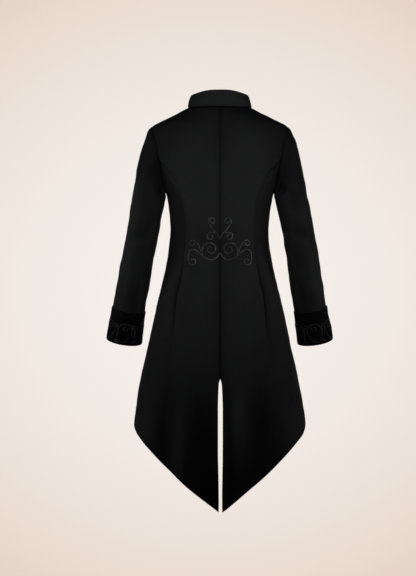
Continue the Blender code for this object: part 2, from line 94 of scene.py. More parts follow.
# Heights of the body, measured from the neck points
SHOULDER_TIP = -0.052
ARMHOLE_BOTTOM = -0.234
WAIST_ROW = -0.310
VENT_TOP = -0.735
VENT_ROUNDING = 0.015
NECK_DROP_FRONT = 0.065
ARMHOLE_MIDDLE = (SHOULDER_TIP + ARMHOLE_BOTTOM) / 2
ARMHOLE_RISE = (SHOULDER_TIP - ARMHOLE_BOTTOM) / 2
ARMHOLE_BACK = 0.058
ARMHOLE_FRONT = 0.060
SIDE_BACK_TIP = ARMHOLE_MIDDLE - 0.0015


def table(fields, *rows):
    """Rows of named values."""
    return [namedtuple("Row", fields)(*row) for row in rows]


# Level sections of the body form
BODY_SECTIONS = table(
    "height half_width back front square",
    (0.010, 0.0800, 0.056, 0.052, 2.00),
    (0.000, 0.0890, 0.062, 0.058, 2.00),
    (-0.012, 0.1095, 0.069, 0.064, 2.00),
    (-0.028, 0.1405, 0.077, 0.071, 2.00),
    (-0.042, 0.1700, 0.083, 0.077, 2.00),
    (-0.052, 0.1860, 0.087, 0.081, 2.00),
    (-0.085, 0.2005, 0.096, 0.093, 2.00),
    (-0.123, 0.2050, 0.102, 0.105, 2.00),
    (-0.164, 0.1915, 0.105, 0.115, 2.05),
    (-0.205, 0.1680, 0.104, 0.121, 2.15),
    (-0.236, 0.1475, 0.101, 0.122, 2.25),
    (-0.275, 0.1388, 0.095, 0.118, 2.30),
    (-0.335, 0.1345, 0.0885, 0.108, 2.30),
    (-0.400, 0.1408, 0.0945, 0.107, 2.25),
    (-0.470, 0.1550, 0.1100, 0.114, 2.20),
    (-0.540, 0.1715, 0.1260, 0.122, 2.20),
    (-0.640, 0.1945, 0.1440, 0.132, 2.20),
    (-0.760, 0.2225, 0.160, 0.142, 2.20),
    (-0.860, 0.2390, 0.172, 0.150, 2.20),
    (-1.110, 0.2800, 0.196, 0.160, 2.20),
)

# Hem height by the angle round the body: 0 is the centre back, 90 the side, 180 the front
HEM = table(
    "degrees height",
    (0, -1.090), (30, -1.010), (60, -0.917), (72, -0.887), (82, -0.865),
    (92, -0.832), (120, -0.715), (150, -0.567), (180, -0.440),
)
SKIRT_LENGTH = WAIST_ROW - HEM[0].height
HEM_BACK_RAMP = (math.radians(80), math.radians(60))
HEM_STEP = 0.01
HEM_LEAST_SLOPE = 0.08

# Princess seam: height and distance from the centre seam
PRINCESS_SEAM = (
    (-0.193, 0.1245), (-0.252, 0.1030), (-0.301, 0.0956), (-0.351, 0.0935), (-0.416, 0.0981),
    (-0.473, 0.1076), (-0.522, 0.1180), (-0.584, 0.1240), (-0.632, 0.1280), (-1.110, 0.1660),
)

# Half width of the open centre vent
CENTRE_VENT = table(
    "height half_gap",
    (VENT_TOP, SEAM_GAP / 2), (VENT_TOP - VENT_ROUNDING, 0.0042), (-0.820, 0.0066),
    (-0.920, 0.0065), (-1.060, 0.0046), (-1.110, 0.0056),
)

# Soft flares of the tails, which grow from a height to the hem: degrees round the body,
# spread in degrees, depth and top height
FLARES = {
    LEFT: (
        (5, 11, -0.008, -0.64), (27, 9, 0.008, -0.74), (42, 7, -0.007, -0.62),
        (54, 9, 0.008, -0.58), (98, 16, -0.005, -0.5),
    ),
    RIGHT: (
        (9, 7, 0.007, -0.66), (28, 11, -0.01, -0.62), (54, 12, 0.009, -0.6),
        (95, 15, -0.005, -0.52),
    ),
}
FLARE_LEVEL = -0.90

# Front closing
FRONT_LAP = 0.016
LAP_LIFT = 0.0026
LAP_RAMP = 0.030

# Sleeves: the turn is 0 outward, 90 backward, 180 inward and 270 forward
ELBOW_HEIGHT = -0.345
ELBOW_SPREAD = 0.100
ELBOW_OUT = {LEFT: 0.0, RIGHT: 0.0045}
SLEEVE_RINGS = table(
    "height across back half_width half_depth",
    (-0.252, 0.1965, 0.000, 0.0445, 0.0600),
    (-0.350, 0.2135, 0.003, 0.0438, 0.0560),
    (-0.430, 0.2285, -0.001, 0.0442, 0.0510),
    (-0.510, 0.2430, -0.015, 0.0447, 0.0465),
    (-0.585, 0.2563, -0.032, 0.0445, 0.0430),
    (-0.640, 0.2650, -0.045, 0.0474, 0.0434),
)
SLEEVE_TOP = SLEEVE_RINGS[0].height
SLEEVE_END = SLEEVE_RINGS[-1].height
CAP_SLOPE_TOP = 25
CAP_SLOPE_UNDER = 75
CAP_START_PULL = 0.40
CAP_END_PULL = 1.00
CAP_EASE = 0.0007
CAP_EASE_TURN = math.radians(10)
CAP_EASE_LEVEL = 0.14
CAP_EASE_REACH = 0.08
CAP_CREASE_RAMP = (0, 0.25)
HIND_SEAM = math.radians(108)
ARM_REACH = 0.048

# Cuffs
CUFF_TOP = -0.553
CUFF_BOTTOM = -0.642
CUFF_RINGS = table(
    "height half_width half_depth",
    (CUFF_TOP, 0.0470, 0.0468), (CUFF_BOTTOM, 0.0500, 0.0460),
)
CUFF_ROUNDING = (0.0006, 0.0012)
CUFF_ROLL = 0.0004
CUFF_ROLL_INSET = 0.004
CUFF_ROLL_REACH = 0.003

# Collar; the shares of its height are those of its rows
COLLAR_BACK_HEIGHT = 0.0445
COLLAR_SIDE_HEIGHT = 0.0330
COLLAR_LEAN = 0.0095
COLLAR_BELLY = 0.0012
COLLAR_LIFT = 0.0002
COLLAR_SEAM = 0.0015
COLLAR_END_GAP = 0.0015
COLLAR_END_ANGLES = np.array((0.030, 0.020, 0.012, 0.006, 0.0))
COLLAR_FOOT_SHARES = (-0.04, 0.0, 0.02, 0.04, 0.08)
COLLAR_BODY_SHARES = (0.14, 0.86, 14)
COLLAR_TOP_SHARES = (0.90, 1, 6)
# Painted light: how much paler the collar's colour is painted all over
COLLAR_PAINTED_LIGHT = 0.62

# Buttons down the centre front; the profile is radius and rise, from the top's middle
BUTTON_COUNT = 6
BUTTON_TOP_HEIGHT = -0.092
BUTTON_LOW_HEIGHT = -0.350
BUTTON_ANGLE = math.pi - 0.004
BUTTON_CLEAR = 0.0003
BUTTON_SIDES = 40
BUTTON_PROFILE = (
    (0.0, 0.0032), (0.0022, 0.0031), (0.0045, 0.0027), (0.0064, 0.0021), (0.0072, 0.0017),
    (0.0077, 0.0016), (0.0082, 0.0019), (0.0088, 0.0022), (0.0095, 0.0021), (0.0099, 0.0016),
    (0.0100, 0.0010), (0.0097, 0.0004), (0.0090, 0.0), (0.0, 0.0),
)

# Unevenness of the worn cloth: depth, size of its humps and seed
RIPPLE_WAVES = 9
RIPPLE_SPAN = (0.7, 1.4)
RIPPLE_EVENING = 1.6
BODY_RIPPLES = ((0.0011, 0.085, 3), (0.0005, 0.030, 4), (0.00022, 0.011, 5))
SLEEVE_RIPPLES = ((0.0010, 0.060, 11), (0.0005, 0.024, 12), (0.0002, 0.010, 13))
CUFF_RIPPLES = ((0.0006, 0.035, 21), (0.0002, 0.012, 22))
COLLAR_RIPPLES = ((0.0005, 0.030, 31), (0.00015, 0.010, 32))

# Worn form of the back: the blades stand out, the centre seam lies in a valley and the side
# back in a hollow. A patch is its middle across and in height, and its reach both ways, in
# millimetres; a ramp is the height or angle where it is 0 and the one where it is 1.
BEHIND_RAMP = (math.radians(97), math.radians(83))
BLADE_RISE = 0.0045
BLADE_PATCH = (78, -120, 45, 75)
VALLEY_DEPTH = 0.0040
VALLEY_REACH = 0.020
VALLEY_RAMPS = ((-0.015, -0.065), (-0.700, -0.250))
HOLLOW_DEPTH = 0.0034
HOLLOW_RAMPS = ((-0.16, -0.22), (-0.68, -0.56))

# How far from the neck seam and the armhole the relief fades out, and the distance from the
# centre plane past which cloth can be near the armhole
NECK_CLEAR = 0.02
ARMHOLE_CLEAR = 0.03
ARMHOLE_SIDE_RAMP = (0.10, 0.13)

# Creases of the body, seen square from behind or before, in millimetres: from one distance
# from the centre plane and height to another, then bend, width and depth (below 0 is a trough)
BACK_CREASES = {
    LEFT: (
        (60, -300, 118, -325, 4, 10, -1.6), (10, -450, 75, -425, -4, 12, -1.4),
        (40, -490, 100, -452, 5, 12, 1.2), (150, -205, 118, -262, 6, 11, -2.2),
        (135, -180, 95, -215, -6, 13, 1.4), (70, -560, 85, -700, 6, 22, 1.6),
    ),
    RIGHT: (
        (55, -312, 120, -300, -4, 10, -1.5), (20, -462, 85, -436, 5, 11, -1.3),
        (148, -212, 112, -270, -6, 11, -2), (132, -172, 85, -200, 5, 14, 1.3),
        (60, -545, 72, -690, -6, 20, 1.5),
    ),
}
FRONT_CREASES = {
    LEFT: (
        (135, -195, 80, -245, 6, 13, -2.2), (120, -300, 40, -335, 4, 11, -1.8),
        (110, -355, 30, -365, -4, 12, -1.4),
    ),
    RIGHT: (
        (138, -205, 85, -262, -6, 13, -2.1), (118, -290, 50, -322, -5, 12, -1.7),
        (105, -370, 40, -352, 5, 11, -1.3),
    ),
}

# Creases of the sleeves: the same, with degrees of turn in place of the distance
SLEEVE_CREASES = {
    LEFT: (
        (116, -235, 106, -385, 6, 20, -3.6), (40, -205, 52, -330, 5, 16, 2.2),
        (152, -160, 118, -245, 4, 14, -5.2), (118, -328, 60, -354, 5, 10, -2),
        (120, -350, 66, -378, 4, 10, 2.4), (34, -455, 26, -555, 3, 15, 3.6),
        (98, -455, 108, -562, 3, 15, -4.2), (72, -470, 66, -555, 3, 13, 2.2),
        (300, -318, 200, -352, 8, 10, -3.8), (320, -352, 215, -372, -6, 10, -4.2),
        (305, -385, 205, -398, 6, 11, -3.2),
    ),
    RIGHT: (
        (122, -324, 52, -352, 5, 10, -5.2), (108, -354, 58, -386, 4, 13, 3.6),
        (130, -380, 120, -450, -3, 12, -3.6), (120, -448, 104, -548, 4, 14, -4.8),
        (148, -165, 116, -240, -4, 14, -5), (52, -480, 44, -555, 3, 14, 3.6),
        (90, -215, 78, -300, 4, 13, -3.8), (308, -325, 205, -340, 8, 10, -4),
        (318, -362, 210, -368, -7, 11, -3.8), (300, -392, 215, -412, 6, 11, -2.8),
    ),
}
CREASE_STOPS = 9
CREASE_FADE = 0.35
CREASE_BANK = 0.45
CREASE_BANK_OFFSET = 1.7
CREASE_BANK_WIDTH = 1.3
# How strongly the sleeves' crease depths are painted into the cloth's colour: painted shade in the
# troughs and painted light on the ridges
CREASE_SHADE = 55.0

# Grooves beside seams and edges: depth and reach
SEAM_GROOVE = (0.0010, 0.0016)
SEAM_ROLL = (0.0004, 0.006)
EDGE_ROUNDING = (0.0007, 0.0014)
EDGE_STITCH = (0.00025, 0.0012)
EDGE_STITCH_INSET = 0.007
NECK_SEAM_SHARE = 1.5
SLEEVE_SEAM_SHARE = 0.4

# How seams change along their length, by height or by the turn round the armhole: a least
# value, ramps, and bells of what is added, its middle and its reach
LONG_SEAM_LEAST = 0.20
LONG_SEAM_RAMP = (-0.68, -0.56)
LONG_SEAM_BELL = (0.4, -0.52, 0.10)
# The shade values set how strong the painted seam shade is along each seam
LONG_SHADE_LEAST = 0.45
LONG_SHADE_RAMP = (-0.72, -0.56)
LONG_SHADE_BELL = (0.85, -0.51, 0.10)
CENTRE_SHADE_LEAST = 0.68
CENTRE_SHADE_ADDED = 0.50
CENTRE_SHADE_RAMP = (-0.40, -0.52)
ARMHOLE_DEPTH_BELL = (-0.88, 0.0, 0.6)
ARMHOLE_SHADE_LEAST = 0.42
ARMHOLE_SHADE_BELL = (0.58, 2.2, 0.75)

# Painted shade by the seams: how much darker the cloth's colour is painted on a seam's sharp
# line, in a wider shade beside it, and that shade's reach
PAINTED_SEAM_LINE_REACH = 0.0048
PAINTED_SEAM_SHADE = {
    "neck": (0.50, 0.25, 0.014),
    "armhole": (0.45, 0.35, 0.026),
    "side": (0.22, 0.0, 0.014),
    "princess": (0.25, 0.38, 0.018),
    "centre": (0.45, 0.12, 0.014),
    "sleeve head": (0.30, 0.38, 0.045),
    "collar": (0.55, 0.10, 0.014),
}
DARKEST = 0.8

# Soft patches of painted shade and painted light, seen square from behind: the middle across and
# in height and the reach both ways, in millimetres, and how much darker the colour is painted
# (below 0 is paler)
BACK_PAINTED_PATCHES = {
    LEFT: (
        (85, -110, 55, 65, -0.26), (20, -365, 55, 45, 0.24), (125, -280, 20, 80, -0.14),
        (50, -640, 50, 80, -0.12), (50, -890, 35, 100, 0.4), (118, -920, 17, 80, -0.05),
        (156, -890, 14, 90, 0.25), (208, -870, 28, 60, -0.2), (30, -1030, 40, 50, 0.3),
    ),
    RIGHT: (
        (85, -110, 55, 65, -0.26), (20, -365, 55, 45, 0.24), (50, -15, 50, 16, 0.3),
        (50, -640, 50, 80, -0.12), (50, -845, 18, 75, -0.6), (112, -850, 22, 75, 0.32),
        (195, -880, 38, 65, -0.5), (45, -1000, 50, 55, 0.5),
    ),
}
SLEEVE_PAINTED_PATCHES = {
    LEFT: (
        (225, -165, 40, 60, 0.16), (176, -180, 26, 50, 0.26), (215, -270, 30, 40, -0.12),
        (265, -440, 30, 100, -0.3),
    ),
    RIGHT: (
        (180, -180, 26, 50, 0.24), (218, -215, 24, 45, 0.14), (225, -290, 22, 35, -0.14),
        (270, -490, 35, 70, -0.4),
    ),
}
COLLAR_PAINTED_PATCHES = {RIGHT: ((45, 20, 45, 60, -0.15),)}
PAINTED_PATCH_RAMP = (-0.03, 0.03)

# Scrolls of the back ornament, for one side, in millimetres across and up from its low
# cusp: a stem through a few points, then a curl round a centre, from an outer radius to an
# inner one, starting at a bearing and going round by turns (above 0 is anticlockwise), then
# a tail through more points
Curl = namedtuple("Curl", "stem across up outer inner begin turns tail")
BACK_BASE = -0.3990
BACK_SCROLLS = (
    Curl(((0, 34), (2, 41), (8, 51), (19, 62)), 20.5, 84.5, 10.5, 4.6, -25, 1.12, ()),
    Curl(((4, 44), (10, 53.5)), 25.5, 43.0, 11.5, 4.4, 112, -1.20, ()),
    Curl(((43, -13),), 25.0, 8.0, 25.0, 6.0, -30, 1.36, ()),
    Curl(((0, 0), (11, -15), (25, -20), (42, -13), (58, 1), (73, 8.5), (82, 3), (85, -10)),
         73.0, -24.0, 11.5, 5.0, 18, -1.08, ()),
    Curl(((44, -11), (51, 4), (56, 17), (61.5, 26)), 73.5, 24.5, 9.2, 4.0, 118, -0.98, ()),
)
BACK_SCROLL_STEP = 1.5
BACK_SCROLL_NEAREST = 0.0004
CURL_POINTS = 48
CURL_POINTS_LEAST = 24
CURL_KNOT_EVERY = 3

# Scrolls of a cuff, one repeat, in millimetres round the cuff and up from its lower edge
CUFF_REPEATS = 6
CUFF_SCROLLS = (
    Curl(((-13, 7), (-19, 15), (-21.5, 27)), 0, 38, 20.5, 19.0, 168, -0.62,
         ((6, 13), (-2, 7.5), (-8, 9))),
    Curl((), -1, 46, 8.5, 3.2, 35, -1.00, ()),
    Curl(((-21, 25), (-22.5, 38)), -29.5, 50, 6.8, 2.0, -12, 1.25, ()),
    Curl(((-17, 12), (-19.5, 8.5)), -23.5, 9, 4.0, 1.6, -20, 1.10, ()),
)
CUFF_SCROLL_STEP = 1.2

# Soutache and embroidery thread: width, height, and half a profile of shares of both, from
# the middle out
Cord = namedtuple("Cord", "width height profile")
SOUTACHE = Cord(0.0048, 0.0012, (
    (0.0, 0.5), (0.14, 0.72), (0.42, 1.0), (0.72, 0.95), (0.98, 0.5), (1.0, -0.2)))
SATIN = Cord(0.0022, 0.0008, ((0.0, 1.0), (0.55, 0.85), (0.92, 0.35), (1.0, -0.2)))
CORD_TIP = 0.35
CORD_TAPER = 0.8

# Colours of the materials, from dark to pale, with their shine, and their roughness as what
# a noise adds to the least of it
CLOTH_COLOURS = ((0.0090, 0.0092, 0.0092), (0.0165, 0.0170, 0.0168))
VELVET_COLOURS = ((0.0008, 0.0008, 0.0009), (0.0056, 0.0056, 0.0058))
SOUTACHE_COLOURS = ((0.016, 0.016, 0.018), (0.150, 0.149, 0.151))
SATIN_COLOURS = ((0.008, 0.008, 0.009), (0.066, 0.066, 0.072))
BUTTON_COLOURS = ((0.008, 0.008, 0.009), (0.018, 0.018, 0.019))
CLOTH_SPECULAR = 0.03
VELVET_SPECULAR = 0.04
THREAD_SPECULAR = 0.12
CLOTH_ROUGHNESS = (0.16, 0.74)
VELVET_ROUGHNESS = (0.2, 0.78)
THREAD_ROUGHNESS = (0.2, 0.42)
BUTTON_ROUGHNESS = (0.18, 0.24)

# Pitches of the weave and the plies, and the weights by which noises and waves are added
TWILL_PITCH = 0.0012
YARN_PITCH = 0.0006
YARN_WEIGHT = 0.4
FUZZ_WEIGHT = 2.0
PATCH_WEIGHT = 0.7
FLECK_WEIGHT = 0.5
PLY_WEIGHT = 0.35
WORN_WEIGHT = 0.65
WORN_SLOPE = (4.0, -1.7)
RIM_SLOPE = (-2.5, 3.5)
RIM_DARKEST = 0.08
SOUTACHE_PLIES = {"pitch": 0.0011, "lean": 1.6, "core": 0.0007}
SATIN_PLIES = {"pitch": 0.0007, "lean": 0.5, "core": 0.0010}

# What each cloth piece was cut to, without its turnings: width, length and area in metres.
# The braces stand for the piece's own side.
Cut = namedtuple("Cut", "width length area held rests_on")
CUTS = {
    "back_cloth": Cut(0.195, 1.100, 0.1490, "hung", ("collar_cloth",)),
    "side_cloth": Cut(0.195, 0.830, 0.0908, "hung", ("back_cloth{}",)),
    "front_cloth": Cut(0.305, 0.860, 0.1462, "hung", ("back_cloth{}", "collar_cloth")),
    "top_sleeve_cloth": Cut(0.200, 0.600, 0.0892, "hung", ("back_cloth{}", "front_cloth{}")),
    "under_sleeve_cloth": Cut(0.190, 0.530, 0.0690, "hung", ("side_cloth{}", "front_cloth{}")),
    "cuff_velvet": Cut(
        0.304, 0.094, 0.0281, "folded", ("top_sleeve_cloth{}", "under_sleeve_cloth{}")),
    "collar_cloth": Cut(
        0.520, 0.048, 0.0205, "stretched", ("back_cloth_left", "back_cloth_right")),
}
TRIMMED_WITH = {
    "back_cloth_left": ["back_soutache"],
    "front_cloth_left": [f"coat_button_{i + 1}" for i in range(BUTTON_COUNT)],
    "cuff_velvet_left": ["cuff_scrolls_left"],
    "cuff_velvet_right": ["cuff_scrolls_right"],
}

# Floor, where the wearer's feet would stand, and the surround
FLOOR_HEIGHT = -1.45
FLOOR_RADIUS = 0.90
FLOOR_SIDES = 64
FLOOR_COLOUR = (0.78, 0.72, 0.66, 1)
FLOOR_GLOW_COLOUR = (0.80, 0.71, 0.63, 1)
FLOOR_GLOW = 0.92
FLOOR_ROUGHNESS = 0.9
SKY_LIGHT_COLOUR = (0.97, 0.97, 1.0, 1)
SKY_LIGHT = 0.06
SKY_COLOURS = ((0.913, 0.871, 0.831), (0.791, 0.665, 0.578))
SKY_RISE = 0.204
SKY_WAVES = 4.0
SKY_WAVE_STRENGTH = 1.4

# Lights: name, place, aim, size, power and spread in degrees
LIGHTS = (
    ("upper_key", (-0.10, 1.55, -0.50), (-0.03, 0.1, -0.08), 0.35, 0.35, 0.30, 32),
    ("collar_key", (0, 1.5, -0.70), (0, 0.08, 0.055), 0.10, 0.10, 0.012, 10),
    ("back_key", (0, 1.55, -0.30), (0, 0.1, -0.35), 0.35, 0.35, 0.33, 34),
    ("skirt_key", (-0.10, 1.55, -0.68), (0, 0.1, -0.58), 0.35, 0.35, 0.18, 34),
    ("left_low", (2.2, 0.10, -0.95), (0.1, 0.12, -0.90), 0.4, 0.4, 0.35, 30),
    ("right_low", (-2.2, 0.10, -0.95), (-0.1, 0.12, -0.90), 0.4, 0.4, 0.27, 30),
    ("left_strip", (2.2, -0.20, -0.43), (0.22, 0, -0.32), 0.3, 0.4, 0.36, 20),
    ("right_strip", (-2.2, 0.02, -0.52), (-0.23, 0, -0.39), 0.3, 0.4, 0.24, 20),
    ("left_fill", (1.0, -2.5, 0.2), (0, 0, -0.40), 1.0, 1.0, 10, 180),
    ("right_fill", (-1.0, -2.5, 0.2), (0, 0, -0.40), 1.0, 1.0, 14, 180),
)

# Camera: the width of its view is measured at the coat
CAMERA_PLACE = (0.0322, 4.5, -0.495)
CAMERA_SENSOR = 36
CAMERA_VIEW_WIDTH = 1.584


def hermite(start, end, leave, arrive, t):
    """The smooth way from start to end that leaves and arrives with given slopes."""
    return (
        start * ((1 + 2 * t) * (1 - t) ** 2)
        + leave * (t * (1 - t) ** 2)
        + end * (t * t * (3 - 2 * t))
        + arrive * (t * t * (t - 1))
    )


def curve(rows, name, places, key="height"):
    """A smooth value, without overshoot, of a table's column at places of its key column."""
    at = np.array([getattr(row, key) for row in rows], float)
    values = np.array([getattr(row, name) for row in rows], float)
    if at[0] > at[-1]:
        at = at[::-1]
        values = values[::-1]
    steps = np.diff(at)
    slopes = np.diff(values) / steps
    tangents = np.zeros(len(at))
    tangents[0] = slopes[0]
    tangents[-1] = slopes[-1]
    for i in range(1, len(slopes)):
        if slopes[i - 1] * slopes[i] > 0:
            tangents[i] = 2 * slopes[i - 1] * slopes[i] / (slopes[i - 1] + slopes[i])
    places = np.clip(np.asarray(places, float), at[0], at[-1])
    i = np.clip(np.searchsorted(at, places, side="right") - 1, 0, len(steps) - 1)
    t = (places - at[i]) / steps[i]
    leave, arrive = tangents[i] * steps[i], tangents[i + 1] * steps[i]
    return hermite(values[i], values[i + 1], leave, arrive, t)


def mix(a, b, t):
    """The value at share t of the way from a to b."""
    return a + (b - a) * t


def soft(value, zero, one):
    """0 up to one value, 1 past another, and a soft ramp between."""
    t = np.clip((value - zero) / (one - zero), 0.0, 1.0)
    return t * t * (3 - 2 * t)


def bell(distance, reach=1.0):
    """1 in the middle, falling softly away on both sides."""
    return np.exp(-(distance / reach) ** 2)


def patch(points, middle_across, middle_height, reach_across, reach_up):
    """A soft patch of the body: 1 in its middle, falling away all round."""
    across, height = 1000 * np.abs(points[..., 0]), 1000 * points[..., 2]
    return bell(across - middle_across, reach_across) * bell(height - middle_height, reach_up)


def unit(vectors):
    """Vectors of length 1."""
    return vectors / np.maximum(np.linalg.norm(vectors, axis=-1, keepdims=True), 1e-12)


def points_of(x, y, z):
    """Coordinates as an array of points."""
    return np.stack(np.broadcast_arrays(x, y, z), axis=-1).astype(float)


def outward_normal(form, side, u, v, steps):
    """Outward normal of a form that is given by two directions, by its slopes along them."""
    du, dv = steps
    along_u = form(side, u + du, v) - form(side, u - du, v)
    along_v = form(side, u, v + dv) - form(side, u, v - dv)
    return unit(np.cross(along_v, along_u) * side)


def rippled(points, ripples):
    """Soft unevenness of the cloth."""
    total = np.zeros(points.shape[:-1])
    for depth, size, seed in ripples:
        chance = np.random.default_rng(seed)
        waves = np.zeros(total.shape)
        for _ in range(RIPPLE_WAVES):
            way = unit(chance.normal(size=3)) * chance.uniform(*RIPPLE_SPAN) * math.pi / size
            waves += np.sin(points @ way + chance.uniform(0, FULL_TURN))
        total += depth * waves / (RIPPLE_EVENING * math.sqrt(RIPPLE_WAVES / 2))
    return total


def neck_height(angle):
    """Height of the neck seam: level round the back, dropping towards the front."""
    drop = -NECK_DROP_FRONT * (1 + np.cos(2 * angle)) / 2
    return np.where(angle <= math.pi / 2, 0.0, drop)


def flare(side, angle, height):
    """How far the tails' soft folds stand out of the plain form."""
    total = np.zeros(np.broadcast(angle, height).shape)
    for degrees, spread, depth, top in FLARES[side]:
        away = np.degrees(angle) - degrees
        total = total + depth * soft(height, top, FLARE_LEVEL) * bell(away, spread)
    return total


def section(height, angle):
    """Half width, depth and squareness of the form at a height, on the angle's side."""
    names = ("half_width", "back", "front", "square")
    half_width, back, front, square = (curve(BODY_SECTIONS, name, height) for name in names)
    return half_width, np.where(angle <= math.pi / 2, back, front), square


def form_reach(angle, height):
    """Distance from the body's axis to its plain form."""
    half_width, depth, square = section(height, angle)
    across = np.abs(np.sin(angle)) / half_width
    along = np.abs(np.cos(angle)) / depth
    return (across ** square + along ** square) ** (-1 / square)


def body_point(side, angle, height):
    """A point of the body form's outer face."""
    radius = form_reach(angle, height) + flare(side, angle, height)
    return points_of(side * radius * np.sin(angle), radius * np.cos(angle), height)


def body_normal(side, angle, height):
    """The body form's outward normal."""
    angle = np.maximum(angle, CENTRE_NEAREST)
    return outward_normal(body_point, side, angle, height, BODY_SLOPE_STEPS)


def side_reach(back, height):
    """Distance from the centre plane to the form at a given distance behind the side line."""
    half_width, depth, square = section(height, np.where(np.asarray(back) >= 0, 0.0, math.pi))
    return half_width * (1 - (np.abs(back) / depth) ** square) ** (1 / square)


def back_reach(across, height):
    """Distance behind the side line of the back's form at a distance from the centre plane."""
    half_width, depth, square = section(height, np.zeros(np.shape(height)))
    return depth * np.maximum(1e-6, 1 - (across / half_width) ** square) ** (1 / square)


def armhole_share(height):
    """How deep the armhole is at a height, as a share of its deepest."""
    share = (np.clip(height, ARMHOLE_BOTTOM, SHOULDER_TIP) - ARMHOLE_MIDDLE) / ARMHOLE_RISE
    return np.sqrt(np.maximum(0.0, 1 - share * share))


def armhole_angle(height, reach):
    """Angle of the armhole's back (reach > 0) or front (reach < 0) edge at a height."""
    height = np.clip(height, ARMHOLE_BOTTOM, SHOULDER_TIP)
    back = reach * armhole_share(height)
    return np.arctan2(side_reach(back, height), back)


def centre_edge(height):
    """Angle of the centre seam's edge, and of the open vent below it."""
    half_gap = np.where(height < VENT_TOP, curve(CENTRE_VENT, "half_gap", height), SEAM_GAP / 2)
    return np.arctan2(half_gap, curve(BODY_SECTIONS, "back", height))


def princess_edge(height):
    """Angle of the seam between centre back and side back."""
    start = (ARMHOLE_MIDDLE, float(side_reach(ARMHOLE_BACK, ARMHOLE_MIDDLE)))
    across = curve(table("height across", start, *PRINCESS_SEAM), "across", height)
    return np.arctan2(across, back_reach(across, height))


def outer_edge(height, reach):
    """Outer edge of a front or side back: shoulder seam, armhole, then side seam."""
    beside_arm = (height < SHOULDER_TIP) & (height > ARMHOLE_BOTTOM)
    return np.where(beside_arm, armhole_angle(height, reach), math.pi / 2)


def back_outer_edge(height):
    """Outer edge of the centre back: shoulder seam, armhole, then princess seam."""
    low = princess_edge(np.minimum(height, ARMHOLE_MIDDLE))
    return np.where(height < ARMHOLE_MIDDLE, low, outer_edge(height, ARMHOLE_BACK))


side_outer_edge = partial(outer_edge, reach=ARMHOLE_BACK)
front_outer_edge = partial(outer_edge, reach=-ARMHOLE_FRONT)


def lap_line(height):
    """Angle at which a front meets the edge of the other one, on its own side."""
    return math.pi - np.arctan2(FRONT_LAP, curve(BODY_SECTIONS, "front", height))


def front_inner_edge(height):
    """Inner edge of a front, just past the centre front."""
    return FULL_TURN - lap_line(height)


def hem_height(side, angle):
    """Height of the hem. Seen from behind, the flares leave its line straight."""
    plain = curve(HEM, "height", np.degrees(angle), key="degrees")
    ahead, behind = (form_reach(a, plain) * np.sin(a) for a in (angle + HEM_STEP, angle - HEM_STEP))
    slope = np.maximum((ahead - behind) / (2 * HEM_STEP), HEM_LEAST_SLOPE)
    shift = flare(side, angle, plain) * np.sin(angle) / slope * soft(angle, *HEM_BACK_RAMP)
    return curve(HEM, "height", np.degrees(angle + shift), key="degrees")


def row_height(side, row, angle):
    """Height of a row: -1 is the neck, 0 the armhole's middle, 1 above the waist, 2 the hem."""
    high = mix(ARMHOLE_MIDDLE, neck_height(angle), -row)
    middle = mix(ARMHOLE_MIDDLE, WAIST_ROW, row)
    low = mix(WAIST_ROW, hem_height(side, angle), row - 1)
    return np.where(row < 0, high, np.where(row < 1, middle, low))


def row_of(height, angle):
    """The row that passes a height at an angle, down to the level above the waist."""
    below = height - ARMHOLE_MIDDLE
    high = below / (ARMHOLE_MIDDLE - neck_height(angle))
    return np.where(below > 0, high, below / (WAIST_ROW - ARMHOLE_MIDDLE))


def edge_angle(side, edge, row):
    """Angle at which each row meets an edge that is given by height."""
    angle = np.full(np.shape(row), math.pi / 2)
    for _ in range(EDGE_ROUNDS):
        angle = edge(row_height(side, row, angle))
    return angle


def crease_depth(u, v, start, end, bend, width, depth):
    """Displacement of a flat map by one crease between two places, bowed to one side, with a
    low bank along it. The map is in metres and the crease in millimetres."""
    u, v = 1000 * u, 1000 * v
    start = np.array(start, float)
    end = np.array(end, float)
    way = unit(end - start)
    square = np.array((-way[1], way[0]))
    nearest = np.full(u.shape, np.inf)
    signed = np.zeros(u.shape)
    place = np.zeros(u.shape)
    shares = np.linspace(0, 1, CREASE_STOPS)
    path = [mix(start, end, t) + square * bend * 4 * t * (1 - t) for t in shares]
    for i, (a, b) in enumerate(zip(path, path[1:])):
        run = b - a
        t = np.clip(((u - a[0]) * run[0] + (v - a[1]) * run[1]) / (run @ run), 0, 1)
        du = u - a[0] - run[0] * t
        dv = v - a[1] - run[1] * t
        far = np.hypot(du, dv)
        closer = far < nearest
        nearest = np.where(closer, far, nearest)
        signed = np.where(closer, np.sign(run[0] * dv - run[1] * du) * far, signed)
        place = np.where(closer, (i + t) / (CREASE_STOPS - 1), place)
    faded = soft(place, 0, CREASE_FADE) * soft(place, 1, 1 - CREASE_FADE)
    bank = bell(signed - CREASE_BANK_OFFSET * width, CREASE_BANK_WIDTH * width)
    return depth / 1000 * faded * (bell(nearest, width) - CREASE_BANK * bank)


def armhole_clear(points):
    """1 away from the armhole and falling to 0 on it, so that body and sleeve still meet."""
    across, back, height = np.abs(points[..., 0]), points[..., 1], points[..., 2]
    reach = np.where(back >= 0, ARMHOLE_BACK, ARMHOLE_FRONT)
    sideways = np.abs(np.abs(back) - reach * armhole_share(height))
    upright = np.abs(height - np.clip(height, ARMHOLE_BOTTOM, SHOULDER_TIP))
    near = soft(np.hypot(sideways, upright), 0, ARMHOLE_CLEAR)
    return 1 - soft(across, *ARMHOLE_SIDE_RAMP) * (1 - near)


